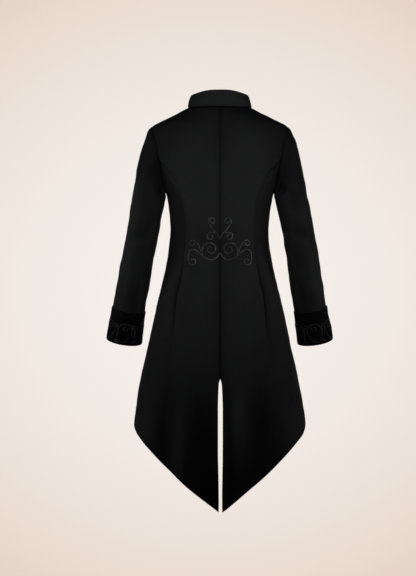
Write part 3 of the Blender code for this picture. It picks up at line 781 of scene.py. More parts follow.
def body_relief(side, angle, height):
    """How far the worn cloth of the body stands out of its form: creases and unevenness."""
    points = body_point(side, angle, height)
    across = np.abs(points[..., 0])
    height = points[..., 2]
    behind = soft(angle, *BEHIND_RAMP)
    valley = bell(across, VALLEY_REACH)
    hollow = 1.0
    for ramp in VALLEY_RAMPS:
        valley = valley * soft(height, *ramp)
    for ramp in HOLLOW_RAMPS:
        hollow = hollow * soft(height, *ramp)
    total = rippled(points, BODY_RIPPLES)
    total = total + behind * (BLADE_RISE * patch(points, *BLADE_PATCH) - VALLEY_DEPTH * valley)
    seam = princess_edge(np.minimum(height, SIDE_BACK_TIP))
    share = np.clip((angle - seam) / (math.pi / 2 - seam), 0, 1)
    deepest_at_a_third = share * (1 - share) ** 2 * 27 / 4
    total = total - HOLLOW_DEPTH * hollow * deepest_at_a_third * (angle < math.pi / 2)
    for creases, seen in ((BACK_CREASES, behind), (FRONT_CREASES, 1 - behind)):
        for across_1, height_1, across_2, height_2, *shape in creases[side]:
            start, end = (across_1, height_1), (across_2, height_2)
            total = total + seen * crease_depth(across, height, start, end, *shape)
    neck_clear = soft(neck_height(angle) - height, 0, NECK_CLEAR)
    return total * armhole_clear(points) * neck_clear


def body_surface(side, angle, height):
    """Points of the worn cloth and the outward normals of the form under them."""
    normal = body_normal(side, angle, height)
    point = body_point(side, angle, height)
    return point + normal * body_relief(side, angle, height)[..., None], normal


def armhole_point(side, turn):
    """A point of the armhole's edge: turn 0 is the top, a quarter turn the back."""
    height = ARMHOLE_MIDDLE + ARMHOLE_RISE * np.cos(turn)
    back = np.where(np.sin(turn) >= 0, ARMHOLE_BACK, ARMHOLE_FRONT) * np.sin(turn)
    return points_of(side * side_reach(back, height), back, height)


def arm_frame(side, height):
    """Centre and the outward, backward and downward directions of the arm at a height."""
    def middle(at):
        return points_of(curve(SLEEVE_RINGS, "across", at), curve(SLEEVE_RINGS, "back", at), at)

    bulge = ELBOW_OUT[side] * bell(height - ELBOW_HEIGHT, ELBOW_SPREAD)
    centre = middle(height) + points_of(bulge, 0, 0)
    above = np.minimum(SLEEVE_TOP, height + ARM_SLOPE_STEP)
    down = unit(middle(np.maximum(SLEEVE_END, height - ARM_SLOPE_STEP)) - middle(above))
    outward = unit(np.array((1.0, 0, 0)) - down * down[..., :1])
    backward = np.cross(outward, down)
    flip = np.array((side, 1, 1))
    return centre * flip, outward * flip, backward * flip, down * flip


def ring_point(side, turn, height, rings):
    """A point of a sleeve's or cuff's ring, which lies square to the arm."""
    centre, outward, backward, _ = arm_frame(side, height)
    out = curve(rings, "half_width", height) * np.cos(turn)
    back = curve(rings, "half_depth", height) * np.sin(turn)
    return centre + outward * out[..., None] + backward * back[..., None]


def sleeve_point(side, turn, level):
    """A point of the sleeve: level 0 is the armhole, 1 the upper arm ring, 2 the hem."""
    turn, level = np.broadcast_arrays(turn, level)
    height = mix(SLEEVE_TOP, SLEEVE_END, np.maximum(level - 1, 0))
    arm = ring_point(side, turn, height, SLEEVE_RINGS)
    slope = np.radians(mix(CAP_SLOPE_UNDER, CAP_SLOPE_TOP, (1 + np.cos(turn)) / 2))
    start = armhole_point(side, turn)
    top = np.full(turn.shape, SLEEVE_TOP)
    end = ring_point(side, turn, top, SLEEVE_RINGS)
    length = np.linalg.norm(end - start, axis=-1, keepdims=True)
    leave = points_of(side * np.cos(slope), 0.0, -np.sin(slope)) * CAP_START_PULL * length
    arrive = arm_frame(side, top)[3] * CAP_END_PULL * length
    cap = hermite(start, end, leave, arrive, np.minimum(level, 1)[..., None])
    return np.where(level[..., None] > 1, arm, cap)


def sleeve_normal(side, turn, level):
    """The sleeve form's outward normal."""
    turn, level = np.broadcast_arrays(turn, np.clip(level, SLEEVE_NEAREST, 2 - SLEEVE_NEAREST))
    return outward_normal(sleeve_point, side, turn, level, SLEEVE_SLOPE_STEPS)


def armhole_way(side, turn):
    """The way that both edges sink at the armhole seam: midway between their normals."""
    start = armhole_point(side, turn)
    angle = np.arctan2(np.abs(start[..., 0]), start[..., 1])
    body = body_normal(side, angle, start[..., 2])
    return unit(body + sleeve_normal(side, turn, np.zeros(np.shape(turn))))


def half_turns(turn):
    """A turn brought between half a turn back and half a turn on."""
    return (turn + math.pi) % FULL_TURN - math.pi


def sleeve_creases(side, turn, level):
    """How far the sleeve's creases stand out of it or sink into it, on its flat map."""
    cap = mix(ARMHOLE_MIDDLE, SLEEVE_TOP, level)
    height = np.where(level > 1, mix(SLEEVE_TOP, SLEEVE_END, level - 1), cap)
    total = np.zeros(turn.shape)
    for turn_1, height_1, turn_2, height_2, *shape in SLEEVE_CREASES[side]:
        across = half_turns(turn - math.radians(turn_1)) * ARM_REACH
        end = (1000 * math.radians(turn_2 - turn_1) * ARM_REACH, height_2)
        total = total + crease_depth(across, height, (0, height_1), end, *shape)
    return total


def sleeve_surface(side, turn, level):
    """Points of the worn sleeve and the outward normals of its form."""
    turn, level = np.broadcast_arrays(turn, level)
    normal = sleeve_normal(side, turn, level)
    point = sleeve_point(side, turn, level)
    total = rippled(point, SLEEVE_RIPPLES) + sleeve_creases(side, turn, level)
    total = total * soft(level, *CAP_CREASE_RAMP)
    upper = np.maximum(0, np.cos(turn - CAP_EASE_TURN))
    total = total + CAP_EASE * upper * bell(level - CAP_EASE_LEVEL, CAP_EASE_REACH)
    return point + normal * total[..., None], normal


def cuff_surface(side, turn, height):
    """Points of a cuff's outer face and its outward normals."""
    ring = partial(ring_point, rings=CUFF_RINGS)
    turn, height = np.broadcast_arrays(turn, height)
    inside = np.clip(height, CUFF_BOTTOM + CUFF_NEAREST, CUFF_TOP - CUFF_NEAREST)
    normal = outward_normal(ring, side, turn, inside, CUFF_SLOPE_STEPS)
    point = ring(side, turn, height)
    return point + normal * rippled(point, CUFF_RIPPLES)[..., None], normal


def collar_surface(side, angle, share):
    """A point of the collar's outer face, by angle and by share of its height."""
    foot = body_point(side, angle, neck_height(angle))
    away = unit(foot * np.array((1, 1, 0)))
    back = mix(COLLAR_BACK_HEIGHT, COLLAR_SIDE_HEIGHT, np.sin(angle) ** 4)
    tall = np.where(angle < math.pi / 2, back, COLLAR_SIDE_HEIGHT)
    lean = COLLAR_LEAN * share - COLLAR_BELLY * np.sin(math.pi * share)
    return foot + points_of(0, 0, COLLAR_LIFT + tall * share) - away * lean[..., None], away


def run_lengths(points, axis):
    """Distances along one axis of a grid, from its first line and from its last."""
    steps = np.linalg.norm(np.diff(points, axis=axis), axis=-1)
    start = np.zeros_like(np.take(steps, [0], axis=axis))
    total = np.concatenate([start, np.cumsum(steps, axis=axis)], axis=axis)
    return total, np.take(total, [-1], axis=axis) - total


def groove(distance, depth, reach):
    """A soft groove in the cloth."""
    return -depth * bell(distance, reach)


def seam_dip(distance):
    """The groove beside a seam, and the faint roll of its allowance."""
    return groove(distance, *SEAM_GROOVE) + groove(distance, *SEAM_ROLL)


def edge_roll(distance):
    """The softly rounded turned edge of the cloth, with the dent of its stitching."""
    stitch = groove(distance - EDGE_STITCH_INSET, *EDGE_STITCH)
    return groove(distance, *EDGE_ROUNDING) + stitch


def painted_seam_shade(distance, seam):
    """Painted shade by a seam: how much darker the colour is painted, a sharp line and a wider
    shade.
    """
    sharp, wide, reach = PAINTED_SEAM_SHADE[seam]
    return sharp * bell(distance, PAINTED_SEAM_LINE_REACH) + wide * bell(distance, reach)


def painted_patches(patches, side, points):
    """How much darker the colour is painted, place by place, in patches of painted shade and light.
    """
    total = np.zeros(points.shape[:-1])
    for *place, darker in patches[side]:
        total += darker * patch(points, *place)
    return total * soft(points[..., 1], *PAINTED_PATCH_RAMP)


def lap_lift(angle, height):
    """How far the upper front is lifted to pass over the lower one."""
    past = (angle - lap_line(height)) * curve(BODY_SECTIONS, "front", height)
    return LAP_LIFT * soft(past, -LAP_RAMP, 0)


def swell(place, added, middle, reach):
    """What is added round a place."""
    return added * bell(place - middle, reach)


def long_seam_depth(height):
    """The long seams sink most below the waist and least in the tails."""
    plain = mix(LONG_SEAM_LEAST, 1.0, soft(height, *LONG_SEAM_RAMP))
    return plain + swell(height, *LONG_SEAM_BELL)


def long_seam_shade(height):
    """How strong the painted shade of the long seams is: most below the waist, hardly in the tails.
    """
    shade = LONG_SHADE_LEAST + swell(height, *LONG_SHADE_BELL)
    return shade * soft(height, *LONG_SHADE_RAMP)


def centre_seam_shade(height):
    """The painted shade of the centre seam is stronger below the waist."""
    return CENTRE_SHADE_LEAST + CENTRE_SHADE_ADDED * soft(height, *CENTRE_SHADE_RAMP)


def armhole_seam_depth(turn):
    """The armhole seam sinks least at the shoulder."""
    return 1.0 + swell(half_turns(turn), *ARMHOLE_DEPTH_BELL)


def armhole_seam_shade(turn):
    """The painted shade of the armhole seam is strongest low at the back."""
    return ARMHOLE_SHADE_LEAST + swell(turn % FULL_TURN, *ARMHOLE_SHADE_BELL)


def make_mesh(name, vertices, faces, uv=None, painted_shading=None):
    """A smooth-shaded mesh object."""
    mesh = bpy.data.meshes.new(name)
    mesh.from_pydata(vertices.tolist(), [], faces)
    mesh.polygons.foreach_set("use_smooth", [True] * len(mesh.polygons))
    if uv is not None:
        layer = mesh.uv_layers.new(name="cloth")
        corners = np.zeros(len(mesh.loops), int)
        mesh.loops.foreach_get("vertex_index", corners)
        layer.data.foreach_set("uv", uv[corners].ravel())
    # An attribute of painted shade and painted light for the cloth's colour
    if painted_shading is not None:
        mesh.attributes.new("painted_shading", "FLOAT", "POINT").data.foreach_set("value", painted_shading)
    thing = bpy.data.objects.new(name, mesh)
    bpy.context.scene.collection.objects.link(thing)
    return thing


def quads(grid):
    """Faces between neighbouring rows and columns of a grid of vertex numbers."""
    corners = (grid[:-1, :-1], grid[1:, :-1], grid[1:, 1:], grid[:-1, 1:])
    return np.stack(corners, axis=-1).reshape(-1, 4).tolist()


def rims_of(rows, columns, closed):
    """Places of a grid along its free edges: two rings of a closed one, else one way round."""
    if closed:
        both = ((0, range(columns)), (rows - 1, reversed(range(columns))))
        return [np.array([(row, j) for j in ring]) for row, ring in both]
    rim = [(i, 0) for i in range(rows - 1)]
    rim += [(rows - 1, j) for j in range(columns - 1)]
    rim += [(i, columns - 1) for i in range(rows - 1, 0, -1)]
    rim += [(0, j) for j in range(columns - 1, 0, -1)]
    return [np.array(rim)]


def shell(name, outer, normals, wall, closed=False, painted_shading=0.0):
    """A closed cloth shell between an outer grid and the same grid moved in, with round rims."""
    rows, columns = outer.shape[:2]
    painted_shading = np.broadcast_to(painted_shading, (rows, columns))
    inner = outer - normals * np.broadcast_to(wall, (rows, columns))[..., None]
    across = run_lengths(outer, 1)[0]
    middle = columns // 2
    uv = np.stack([across - across[:, middle:middle + 1], -run_lengths(outer, 0)[0]], axis=-1)
    front = np.arange(rows * columns).reshape(rows, columns)
    if closed:
        front = np.concatenate([front, front[:, :1]], axis=1)
    rear = front + rows * columns
    vertices = [outer.reshape(-1, 3), inner.reshape(-1, 3)]
    places = [uv.reshape(-1, 2)] * 2
    darker = [painted_shading.ravel()] * 2
    faces = quads(front) + quads(rear.T)
    count = 2 * rows * columns
    for rim in rims_of(rows, columns, closed):
        at = tuple(rim.T)
        inward = np.clip(at[1], 1, columns - 2) if not closed else at[1]
        away = unit(outer[at] - outer[np.clip(at[0], 1, rows - 2), inward])
        bulge = RIM_BULGE * np.linalg.norm(outer[at] - inner[at], axis=-1, keepdims=True)
        vertices.append((outer[at] + inner[at]) / 2 + away * bulge)
        places.append(uv[at])
        darker.append(painted_shading[at])
        here = np.arange(len(rim))
        there = (here + 1) % len(rim)
        if not closed:
            here, there = there, here
        outside = (front[at][here], front[at][there], count + there, count + here)
        inside = (count + here, count + there, rear[at][there], rear[at][here])
        faces += np.concatenate([np.stack(outside, -1), np.stack(inside, -1)]).tolist()
        count += len(rim)
    vertices, places, darker = (np.concatenate(parts) for parts in (vertices, places, darker))
    thing = make_mesh(name, vertices, faces, places, darker)
    if thing.data.polygons[0].normal.dot(Vector(normals[0, 0])) < 0:
        thing.data.flip_normals()
    return thing


def shares_between(widths, count):
    """Shares across rows of given widths, closer together near both edges."""
    fit = np.minimum(1.0, widths * EDGE_STEPS_MOST / EDGE_STEPS[-1])
    first = EDGE_STEPS[None] * (fit / np.maximum(widths, 1e-5))[:, None]
    middle = mix(first[:, -1:], 1 - first[:, -1:], np.linspace(0, 1, count)[None, 1:-1])
    return np.concatenate([first, middle, 1 - first[:, ::-1]], axis=1)


def dense(stops, step):
    """Values through the stops, at most a step apart."""
    values = [stops[0]]
    for a, b in zip(stops, stops[1:]):
        count = max(1, math.ceil(abs(b - a) / step))
        values += [mix(a, b, (k + 1) / count) for k in range(count)]
    return np.array(values)


def panel_rows(arm_edge, top):
    """Rows of a panel, with a row at every corner of its outer edge and more near the hem."""
    arm = ARMHOLE_MIDDLE + ARMHOLE_RISE * np.cos(np.linspace(0, math.pi, ARMHOLE_ROWS))
    stops = {round(h, 6) for h in (0.0, *arm, SIDE_BACK_TIP, WAIST_ROW) if h <= top + 1e-6}
    heights = dense(sorted(stops, reverse=True), HIGH_ROW_STEP)
    rows = row_of(heights, arm_edge(heights))
    vent = [1 + (WAIST_ROW - VENT_TOP + down) / SKIRT_LENGTH for down in (0, VENT_ROUNDING)]
    near_hem = 2 - EDGE_STEPS[::-1] / SKIRT_LENGTH
    low = dense([1.0, *vent, near_hem[0]], LOW_ROW_STEP)
    return np.concatenate([rows, low[1:], near_hem[1:]])


def body_panel(name, side, edges, sewn, top, count, arm_low=ARMHOLE_BOTTOM, over=False):
    """A panel of the body as a fine cloth shell. sewn says how its first and last edge are
    sewn, arm_low is where its part of the armhole ends, and over lifts it over its pair."""
    rows = panel_rows(edges[sewn.index("armhole")], top)
    start, end = (edge_angle(side, edge, rows) for edge in edges)
    spread = ARC_SHARE * curve(BODY_SECTIONS, "half_width", row_height(side, rows, start))
    shares = shares_between(np.abs(end - start) * spread, count)
    angle = mix(start[:, None], end[:, None], shares)
    height = row_height(side, rows[:, None], angle)
    point, normal = body_surface(side, angle, height)
    from_edges = run_lengths(point, 1)
    from_top, from_hem = run_lengths(point, 0)
    relief = edge_roll(from_hem)
    # Painted shade and painted light for the colour: patches, then painted shade by neck and seams
    painted_shading = painted_patches(BACK_PAINTED_PATCHES, side, point)
    if top == 0:
        relief = relief + NECK_SEAM_SHARE * seam_dip(from_top)
        painted_shading = painted_shading + painted_seam_shade(from_top, "neck")
    for seam, distance, at in zip(sewn, from_edges, (height[:, :1], height[:, -1:])):
        dip = seam_dip(distance)
        if seam == "armhole":
            arm = (at <= SHOULDER_TIP) & (at >= arm_low)
            turn = np.arccos(np.clip((at - ARMHOLE_MIDDLE) / ARMHOLE_RISE, -1, 1))
            turn = FULL_TURN - turn if sewn[0] == "armhole" else turn
            sunk = armhole_way(side, turn) * (arm * dip * armhole_seam_depth(turn))[..., None]
            relief = relief + (1 - arm) * dip * long_seam_depth(height)
            painted_shading = painted_shading + arm * armhole_seam_shade(turn) * painted_seam_shade(distance, seam)
            painted_shading = painted_shading + (1 - arm) * painted_seam_shade(distance, "side") * long_seam_shade(height)
        elif seam == "princess":
            relief = relief + dip * long_seam_depth(height)
            painted_shading = painted_shading + painted_seam_shade(distance, seam) * long_seam_shade(height)
        elif seam == "centre":
            above_vent = height > VENT_TOP
            relief = relief + np.where(above_vent, dip, edge_roll(distance))
            shade = painted_seam_shade(distance, seam) * centre_seam_shade(height)
            painted_shading = painted_shading + above_vent * shade
        else:
            relief = relief + edge_roll(distance)
    if over:
        relief = relief + lap_lift(angle, height)
    point = point + normal * relief[..., None] + sunk
    bands = [(distance, ALLOWANCE) for distance in from_edges] + [(from_hem, HEM_TURN)]
    bands = [soft(distance, wide, wide - ALLOWANCE_SLOPE) for distance, wide in bands]
    wall = WALL + ALLOWANCE_WALL * np.max(bands, axis=0) * (not over)
    return shell(name, point, normal, wall, painted_shading=np.minimum(painted_shading, DARKEST))


def sleeve_panel(name, side, first_turn):
    """Half of a sleeve as a fine cloth shell."""
    levels = np.concatenate([dense(CAP_STOPS, CAP_ROW_STEP), dense(ARM_STOPS, ARM_ROW_STEP)[1:]])
    last_turn = first_turn + math.pi
    near = EDGE_STEPS / ARM_REACH
    inner = np.linspace(first_turn + near[-1], last_turn - near[-1], COLUMNS["sleeve"])[1:-1]
    turns = np.concatenate([first_turn + near, inner, (last_turn - near)[::-1]])
    turn, level = np.meshgrid(turns, levels)
    point, normal = sleeve_surface(side, turn, level)
    from_start, from_end = run_lengths(point, 1)
    from_top, from_hem = run_lengths(point, 0)
    relief = SLEEVE_SEAM_SHARE * (seam_dip(from_start) + seam_dip(from_end)) + edge_roll(from_hem)
    sunk = armhole_way(side, turns) * (seam_dip(from_top) * armhole_seam_depth(turns))[..., None]
    point = point + normal * relief[..., None] + sunk
    # Painted shade by the sleeve head seam
    painted_shading = painted_seam_shade(from_top, "sleeve head") * armhole_seam_shade(turns)
    painted_shading = painted_shading + painted_patches(SLEEVE_PAINTED_PATCHES, side, point)
    # Painted shade in the sleeves' creases and painted light on their ridges
    painted_shading = painted_shading - CREASE_SHADE * sleeve_creases(side, turn, level)
    return shell(name, point, normal, WALL, painted_shading=painted_shading)


def cuff_panel(name, side):
    """A cuff: a closed velvet band."""
    top = CUFF_TOP - CUFF_EDGE_STEPS
    low = CUFF_BOTTOM + CUFF_EDGE_STEPS[::-1]
    heights = np.concatenate([top[:-1], np.linspace(top[-1], low[0], CUFF_ROWS), low[1:]])
    turns = np.arange(COLUMNS["cuff"]) * FULL_TURN / COLUMNS["cuff"]
    point, normal = cuff_surface(side, turns[None], heights[:, None])
    drop = np.minimum(CUFF_TOP - heights, heights - CUFF_BOTTOM)[:, None]
    relief = CUFF_ROLL * bell(drop - CUFF_ROLL_INSET, CUFF_ROLL_REACH) + groove(drop, *CUFF_ROUNDING)
    return shell(name, point + normal * relief[..., None], normal, WALL, closed=True)


def collar_piece():
    """The stand collar round the neck seam."""
    depth = float(curve(BODY_SECTIONS, "front", -NECK_DROP_FRONT))
    last = math.pi - math.atan2(COLLAR_END_GAP, depth)
    ends = last - COLLAR_END_ANGLES
    half = np.concatenate([np.linspace(0, ends[0], COLUMNS["collar"]), ends[1:]])
    body, top = np.linspace(*COLLAR_BODY_SHARES), np.linspace(*COLLAR_TOP_SHARES)
    shares = np.concatenate([COLLAR_FOOT_SHARES, body, top])
    grids = [collar_surface(side, *np.meshgrid(half, shares)) for side in (RIGHT, LEFT)]
    point, away = (
        np.concatenate([right[:, ::-1], left[:, 1:]], axis=1) for right, left in zip(*grids))
    from_foot, from_top = run_lengths(point, 0)
    from_seam = np.maximum(from_foot - COLLAR_SEAM, 0)
    relief = rippled(point, COLLAR_RIPPLES) + NECK_SEAM_SHARE * seam_dip(from_seam)
    for distance in (*run_lengths(point, 1), from_top):
        relief = relief + edge_roll(distance)
    point = point + away * relief[..., None]
    # Painted shade at the neck seam, painted light over the whole collar, and painted patches on its
    # right
    painted_shading = painted_seam_shade(from_seam, "collar") - COLLAR_PAINTED_LIGHT
    painted_shading = painted_shading + painted_patches(COLLAR_PAINTED_PATCHES, RIGHT, point) * (point[..., 0] < 0)
    return shell("collar_cloth", point[::-1], away[::-1], WALL, painted_shading=painted_shading[::-1])


def curl_path(scroll, step):
    """Points of a scroll in metres, at most a step in millimetres apart: its stem, then its
    curl with a shrinking radius, then its tail."""
    share = np.linspace(0, 1, max(CURL_POINTS_LEAST, int(abs(scroll.turns) * CURL_POINTS)))
    radius = scroll.outer * (scroll.inner / scroll.outer) ** share
    bearing = math.radians(scroll.begin) + FULL_TURN * scroll.turns * share
    curl = [scroll.across + radius * np.cos(bearing), scroll.up + radius * np.sin(bearing)]
    stem, tail = (np.array(points, float).reshape(-1, 2) for points in (scroll.stem, scroll.tail))
    knots = np.concatenate([stem, np.stack(curl, axis=-1)[::CURL_KNOT_EVERY], tail])
    ends = np.concatenate([[2 * knots[0] - knots[1]], knots, [2 * knots[-1] - knots[-2]]])
    path = [knots[:1]]
    for i in range(1, len(ends) - 2):
        before, here, there, after = ends[i - 1:i + 3]
        pull = np.linalg.norm(there - here)
        t = np.linspace(0, 1, max(2, int(pull / step) + 1) + 1)[1:, None]
        path.append(hermite(here, there, unit(there - before) * pull, unit(after - here) * pull, t))
    return np.concatenate(path) / 1000


def braid(name, lines, cord):
    """Cord laid on cloth: each line is its points and the cloth's normals there."""
    left = [(-share, lift) for share, lift in cord.profile[:0:-1]]
    profile = left + list(cord.profile)
    vertices = []
    faces = []
    places = []
    count = 0
    for points, normals in lines:
        across = unit(np.cross(unit(np.gradient(points, axis=0)), normals))
        runs, runs_back = run_lengths(points, 0)
        to_tip = np.minimum(runs, runs_back)
        taper = np.minimum(1, CORD_TIP + to_tip / (CORD_TAPER * cord.width))
        for side_share, lift_share in profile:
            aside = cord.width / 2 * side_share
            offset = across * (aside * taper)[:, None]
            vertices.append(points + offset + normals * (cord.height * lift_share * taper)[:, None])
            places.append(np.stack([runs, np.full(len(points), aside)], axis=-1))
        grid = count + np.arange(len(profile) * len(points)).reshape(len(profile), len(points))
        faces += quads(np.concatenate([grid, grid[:1]]))
        faces += [grid[::-1, 0].tolist(), grid[:, -1].tolist()]
        count += grid.size
    return make_mesh(name, np.concatenate(vertices), faces, np.concatenate(places))


def back_ornament():
    """Soutache scrolls at the small of the back, alike on both sides of the centre seam."""
    lines = []
    for side, _ in SIDES:
        for scroll in BACK_SCROLLS:
            path = curl_path(scroll, BACK_SCROLL_STEP)
            across = np.maximum(path[:, 0], BACK_SCROLL_NEAREST)
            height = BACK_BASE + path[:, 1]
            angle = np.arctan2(across, back_reach(across, height))
            lines.append(body_surface(side, angle, height))
    return braid("back_soutache", lines, SOUTACHE)


def cuff_ornament(side, word):
    """Embroidered scrolls round a cuff; the two cuffs mirror each other."""
    middle = (CUFF_TOP + CUFF_BOTTOM) / 2
    reach = sum(float(curve(CUFF_RINGS, name, middle)) for name in ("half_width", "half_depth")) / 2
    lines = []
    for repeat in range(CUFF_REPEATS):
        centre = math.radians(90) + FULL_TURN * repeat / CUFF_REPEATS
        for scroll in CUFF_SCROLLS:
            path = curl_path(scroll, CUFF_SCROLL_STEP)
            lines.append(cuff_surface(side, centre + path[:, 0] / reach, CUFF_BOTTOM + path[:, 1]))
    return braid(f"cuff_scrolls_{word}", lines, SATIN)


def button_piece(index):
    """A domed button with a rim, turned from its profile."""
    height = mix(BUTTON_TOP_HEIGHT, BUTTON_LOW_HEIGHT, index / (BUTTON_COUNT - 1))
    point, normal = body_surface(LEFT, np.array(BUTTON_ANGLE), np.array(height))
    seat = point + normal * (LAP_LIFT + BUTTON_CLEAR)
    across = unit(np.cross((0, 0, 1.0), normal))
    turns = np.arange(BUTTON_SIDES) * FULL_TURN / BUTTON_SIDES
    circle = across * np.cos(turns)[:, None] + np.cross(normal, across) * np.sin(turns)[:, None]
    rings = [seat + circle * reach + normal * rise for reach, rise in BUTTON_PROFILE[1:-1]]
    tip, foot = (seat + normal * BUTTON_PROFILE[end][1] for end in (0, -1))
    vertices = np.concatenate([[tip], *rings, [foot]])
    size = len(turns)
    grid = 1 + np.arange(len(rings) * size).reshape(len(rings), size)
    grid = np.concatenate([grid, grid[:, :1]], axis=1)
    faces = [(0, grid[0, k], grid[0, k + 1]) for k in range(size)]
    faces += quads(grid)
    faces += [(len(vertices) - 1, grid[-1, k + 1], grid[-1, k]) for k in range(size)]
    return make_mesh(f"coat_button_{index + 1}", vertices, [list(map(int, face)) for face in faces])


class Nodes:
    """Short ways to add nodes to a tree; numbers and sockets may both be given."""

    def __init__(self, tree):
        self.tree = tree

    def add(self, kind, values=(), **settings):
        """A new node with settings, and values for its inputs by name or number."""
        node = self.tree.nodes.new("ShaderNode" + kind)
        for name, setting in settings.items():
            setattr(node, name, setting)
        for name, value in dict(values).items():
            self.give(node.inputs[name], value)
        return node

    def give(self, socket, value):
        """Set an input, or link another node's output to it."""
        if isinstance(value, bpy.types.NodeSocket):
            self.tree.links.new(value, socket)
        else:
            socket.default_value = value

    def maths(self, operation, *values):
        """A maths node's output."""
        return self.add("Math", enumerate(values), operation=operation).outputs[0]

    def clamp(self, value, low, high):
        """A value kept between two others."""
        return self.maths("MINIMUM", self.maths("MAXIMUM", value, low), high)

    def wave(self, value, pitch):
        """A sine wave along a value."""
        return self.maths("SINE", self.maths("MULTIPLY", value, FULL_TURN / pitch))

    def split(self, vector):
        """The parts of a vector."""
        return self.add("SeparateXYZ", {0: vector}).outputs

    def scale(self, colour, share):
        """A colour made darker or paler by a share."""
        return self.add("VectorMath", {0: colour, "Scale": share}, operation="SCALE").outputs[0]

    def cloth_place(self):
        """The two distances of a place on its cloth or along its cord."""
        along, across, _ = self.split(self.add("UVMap", uv_map="cloth").outputs["UV"])
        return along, across

    def place(self, kind="Object"):
        """The place in the object's frame."""
        return self.add("TexCoord").outputs[kind]

    def noise(self, scale, detail, roughness):
        """A noise texture's value."""
        given = {"Vector": self.place(), "Scale": scale, "Detail": detail, "Roughness": roughness}
        return self.add("TexNoise", given).outputs["Fac"]

    def ramp(self, value, low, high):
        """A colour between two by a value."""
        node = self.add("Mix", data_type="RGBA")
        ends = [socket for socket in node.inputs if socket.type == "RGBA"]
        self.give(ends[0], (*low, 1))
        self.give(ends[1], (*high, 1))
        self.give(node.inputs["Factor"], value)
        return [socket for socket in node.outputs if socket.type == "RGBA"][0]

    def bump(self, height, distance, strength, under=None):
        """A bump node's normal."""
        given = {"Height": height, "Distance": distance, "Strength": strength}
        if under is not None:
            given["Normal"] = under
        return self.add("Bump", given).outputs["Normal"]


def new_material(name, specular=0.5):
    """An empty node material, its nodes and its shader's inputs."""
    material = bpy.data.materials.new(name)
    material.use_nodes = True
    shader = material.node_tree.nodes["Principled BSDF"]
    shader.inputs["Specular IOR Level"].default_value = specular
    return material, Nodes(material.node_tree), shader.inputs


def cloth_material():
    """Matte black suiting: a fine twill with a slight nap."""
    material, nodes, shader = new_material("black_suiting", CLOTH_SPECULAR)
    across, down = nodes.cloth_place()
    rib = nodes.wave(nodes.maths("ADD", across, down), TWILL_PITCH)
    weave = nodes.maths("MULTIPLY_ADD", nodes.wave(across, YARN_PITCH), YARN_WEIGHT, rib)
    fuzz = nodes.noise(scale=900, detail=4.0, roughness=0.7)
    height = nodes.maths("MULTIPLY_ADD", fuzz, FUZZ_WEIGHT, weave)
    nodes.give(shader["Normal"], nodes.bump(height, distance=0.00010, strength=0.5))
    patches = nodes.noise(scale=14, detail=4.0, roughness=0.6)
    flecks = nodes.noise(scale=260, detail=3.0, roughness=0.6)
    shade = nodes.maths("MULTIPLY", patches, PATCH_WEIGHT)
    shade = nodes.maths("MULTIPLY_ADD", flecks, FLECK_WEIGHT, shade)
    # The colour is scaled by one less the painted shading: painted shade above 0, painted light
    # below 0
    painted_shading = nodes.add("Attribute", attribute_name="painted_shading").outputs["Fac"]
    colour = nodes.ramp(shade, *CLOTH_COLOURS)
    nodes.give(shader["Base Color"], nodes.scale(colour, nodes.maths("SUBTRACT", 1.0, painted_shading)))
    nodes.give(shader["Roughness"], nodes.maths("MULTIPLY_ADD", flecks, *CLOTH_ROUGHNESS))
    return material


def velvet_material():
    """Black velvet: a short soft pile whose nap lies differently here and there."""
    material, nodes, shader = new_material("black_velvet_pile", VELVET_SPECULAR)
    pile = nodes.noise(scale=1400, detail=3.0, roughness=0.7)
    strokes = nodes.noise(scale=55, detail=3.0, roughness=0.55)
    fine = nodes.bump(pile, distance=0.00025, strength=0.6)
    nodes.give(shader["Normal"], nodes.bump(strokes, distance=0.0012, strength=0.35, under=fine))
    nodes.give(shader["Base Color"], nodes.ramp(strokes, *VELVET_COLOURS))
    nodes.give(shader["Roughness"], nodes.maths("MULTIPLY_ADD", pile, *VELVET_ROUGHNESS))
    return material


def thread_material(name, colours, pitch, lean, core):
    """Embroidery thread or braid: plies that lean across its length, a little worn, and a darker rim
    outside its core's half width: the cord's dark edges, and painted shade round the cord."""
    material, nodes, shader = new_material(name, THREAD_SPECULAR)
    along, across = nodes.cloth_place()
    folded = nodes.maths("ABSOLUTE", across)
    ply = nodes.wave(nodes.maths("MULTIPLY_ADD", folded, lean, along), pitch)
    half = nodes.maths("MULTIPLY_ADD", ply, 0.5, 0.5)
    nodes.give(shader["Normal"], nodes.bump(half, distance=0.00018, strength=0.8))
    worn = nodes.noise(scale=70, detail=2.0, roughness=0.5)
    uneven = nodes.clamp(nodes.maths("MULTIPLY_ADD", worn, *WORN_SLOPE), 0.0, 1.0)
    shade = nodes.maths("MULTIPLY", uneven, WORN_WEIGHT)
    shade = nodes.maths("MULTIPLY_ADD", half, PLY_WEIGHT, shade)
    # The darker rim is the cord's dark edges together with painted shade where the cord meets the
    # cloth
    rim = nodes.maths("MULTIPLY_ADD", folded, RIM_SLOPE[0] / core, RIM_SLOPE[1])
    lit = nodes.clamp(rim, RIM_DARKEST, 1.0)
    nodes.give(shader["Base Color"], nodes.scale(nodes.ramp(shade, *colours), lit))
    nodes.give(shader["Roughness"], nodes.maths("MULTIPLY_ADD", worn, *THREAD_ROUGHNESS))
    return material


def button_material():
    """Plain dark button with a soft gloss and faint turning marks."""
    material, nodes, shader = new_material("dark_button_gloss")
    haze = nodes.noise(scale=400, detail=3.0, roughness=0.6)
    nodes.give(shader["Base Color"], nodes.ramp(haze, *BUTTON_COLOURS))
    nodes.give(shader["Roughness"], nodes.maths("MULTIPLY_ADD", haze, *BUTTON_ROUGHNESS))
    nodes.give(shader["Normal"], nodes.bump(haze, distance=0.00005, strength=0.4))
    return material


def dress(piece, material, nodes):
    """Give a piece its material and its place in the part, and hide the nodes that it stands for."""
    piece.data.materials.append(material)
    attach(piece, "root")
    if nodes:
        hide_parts(*nodes)
    return piece


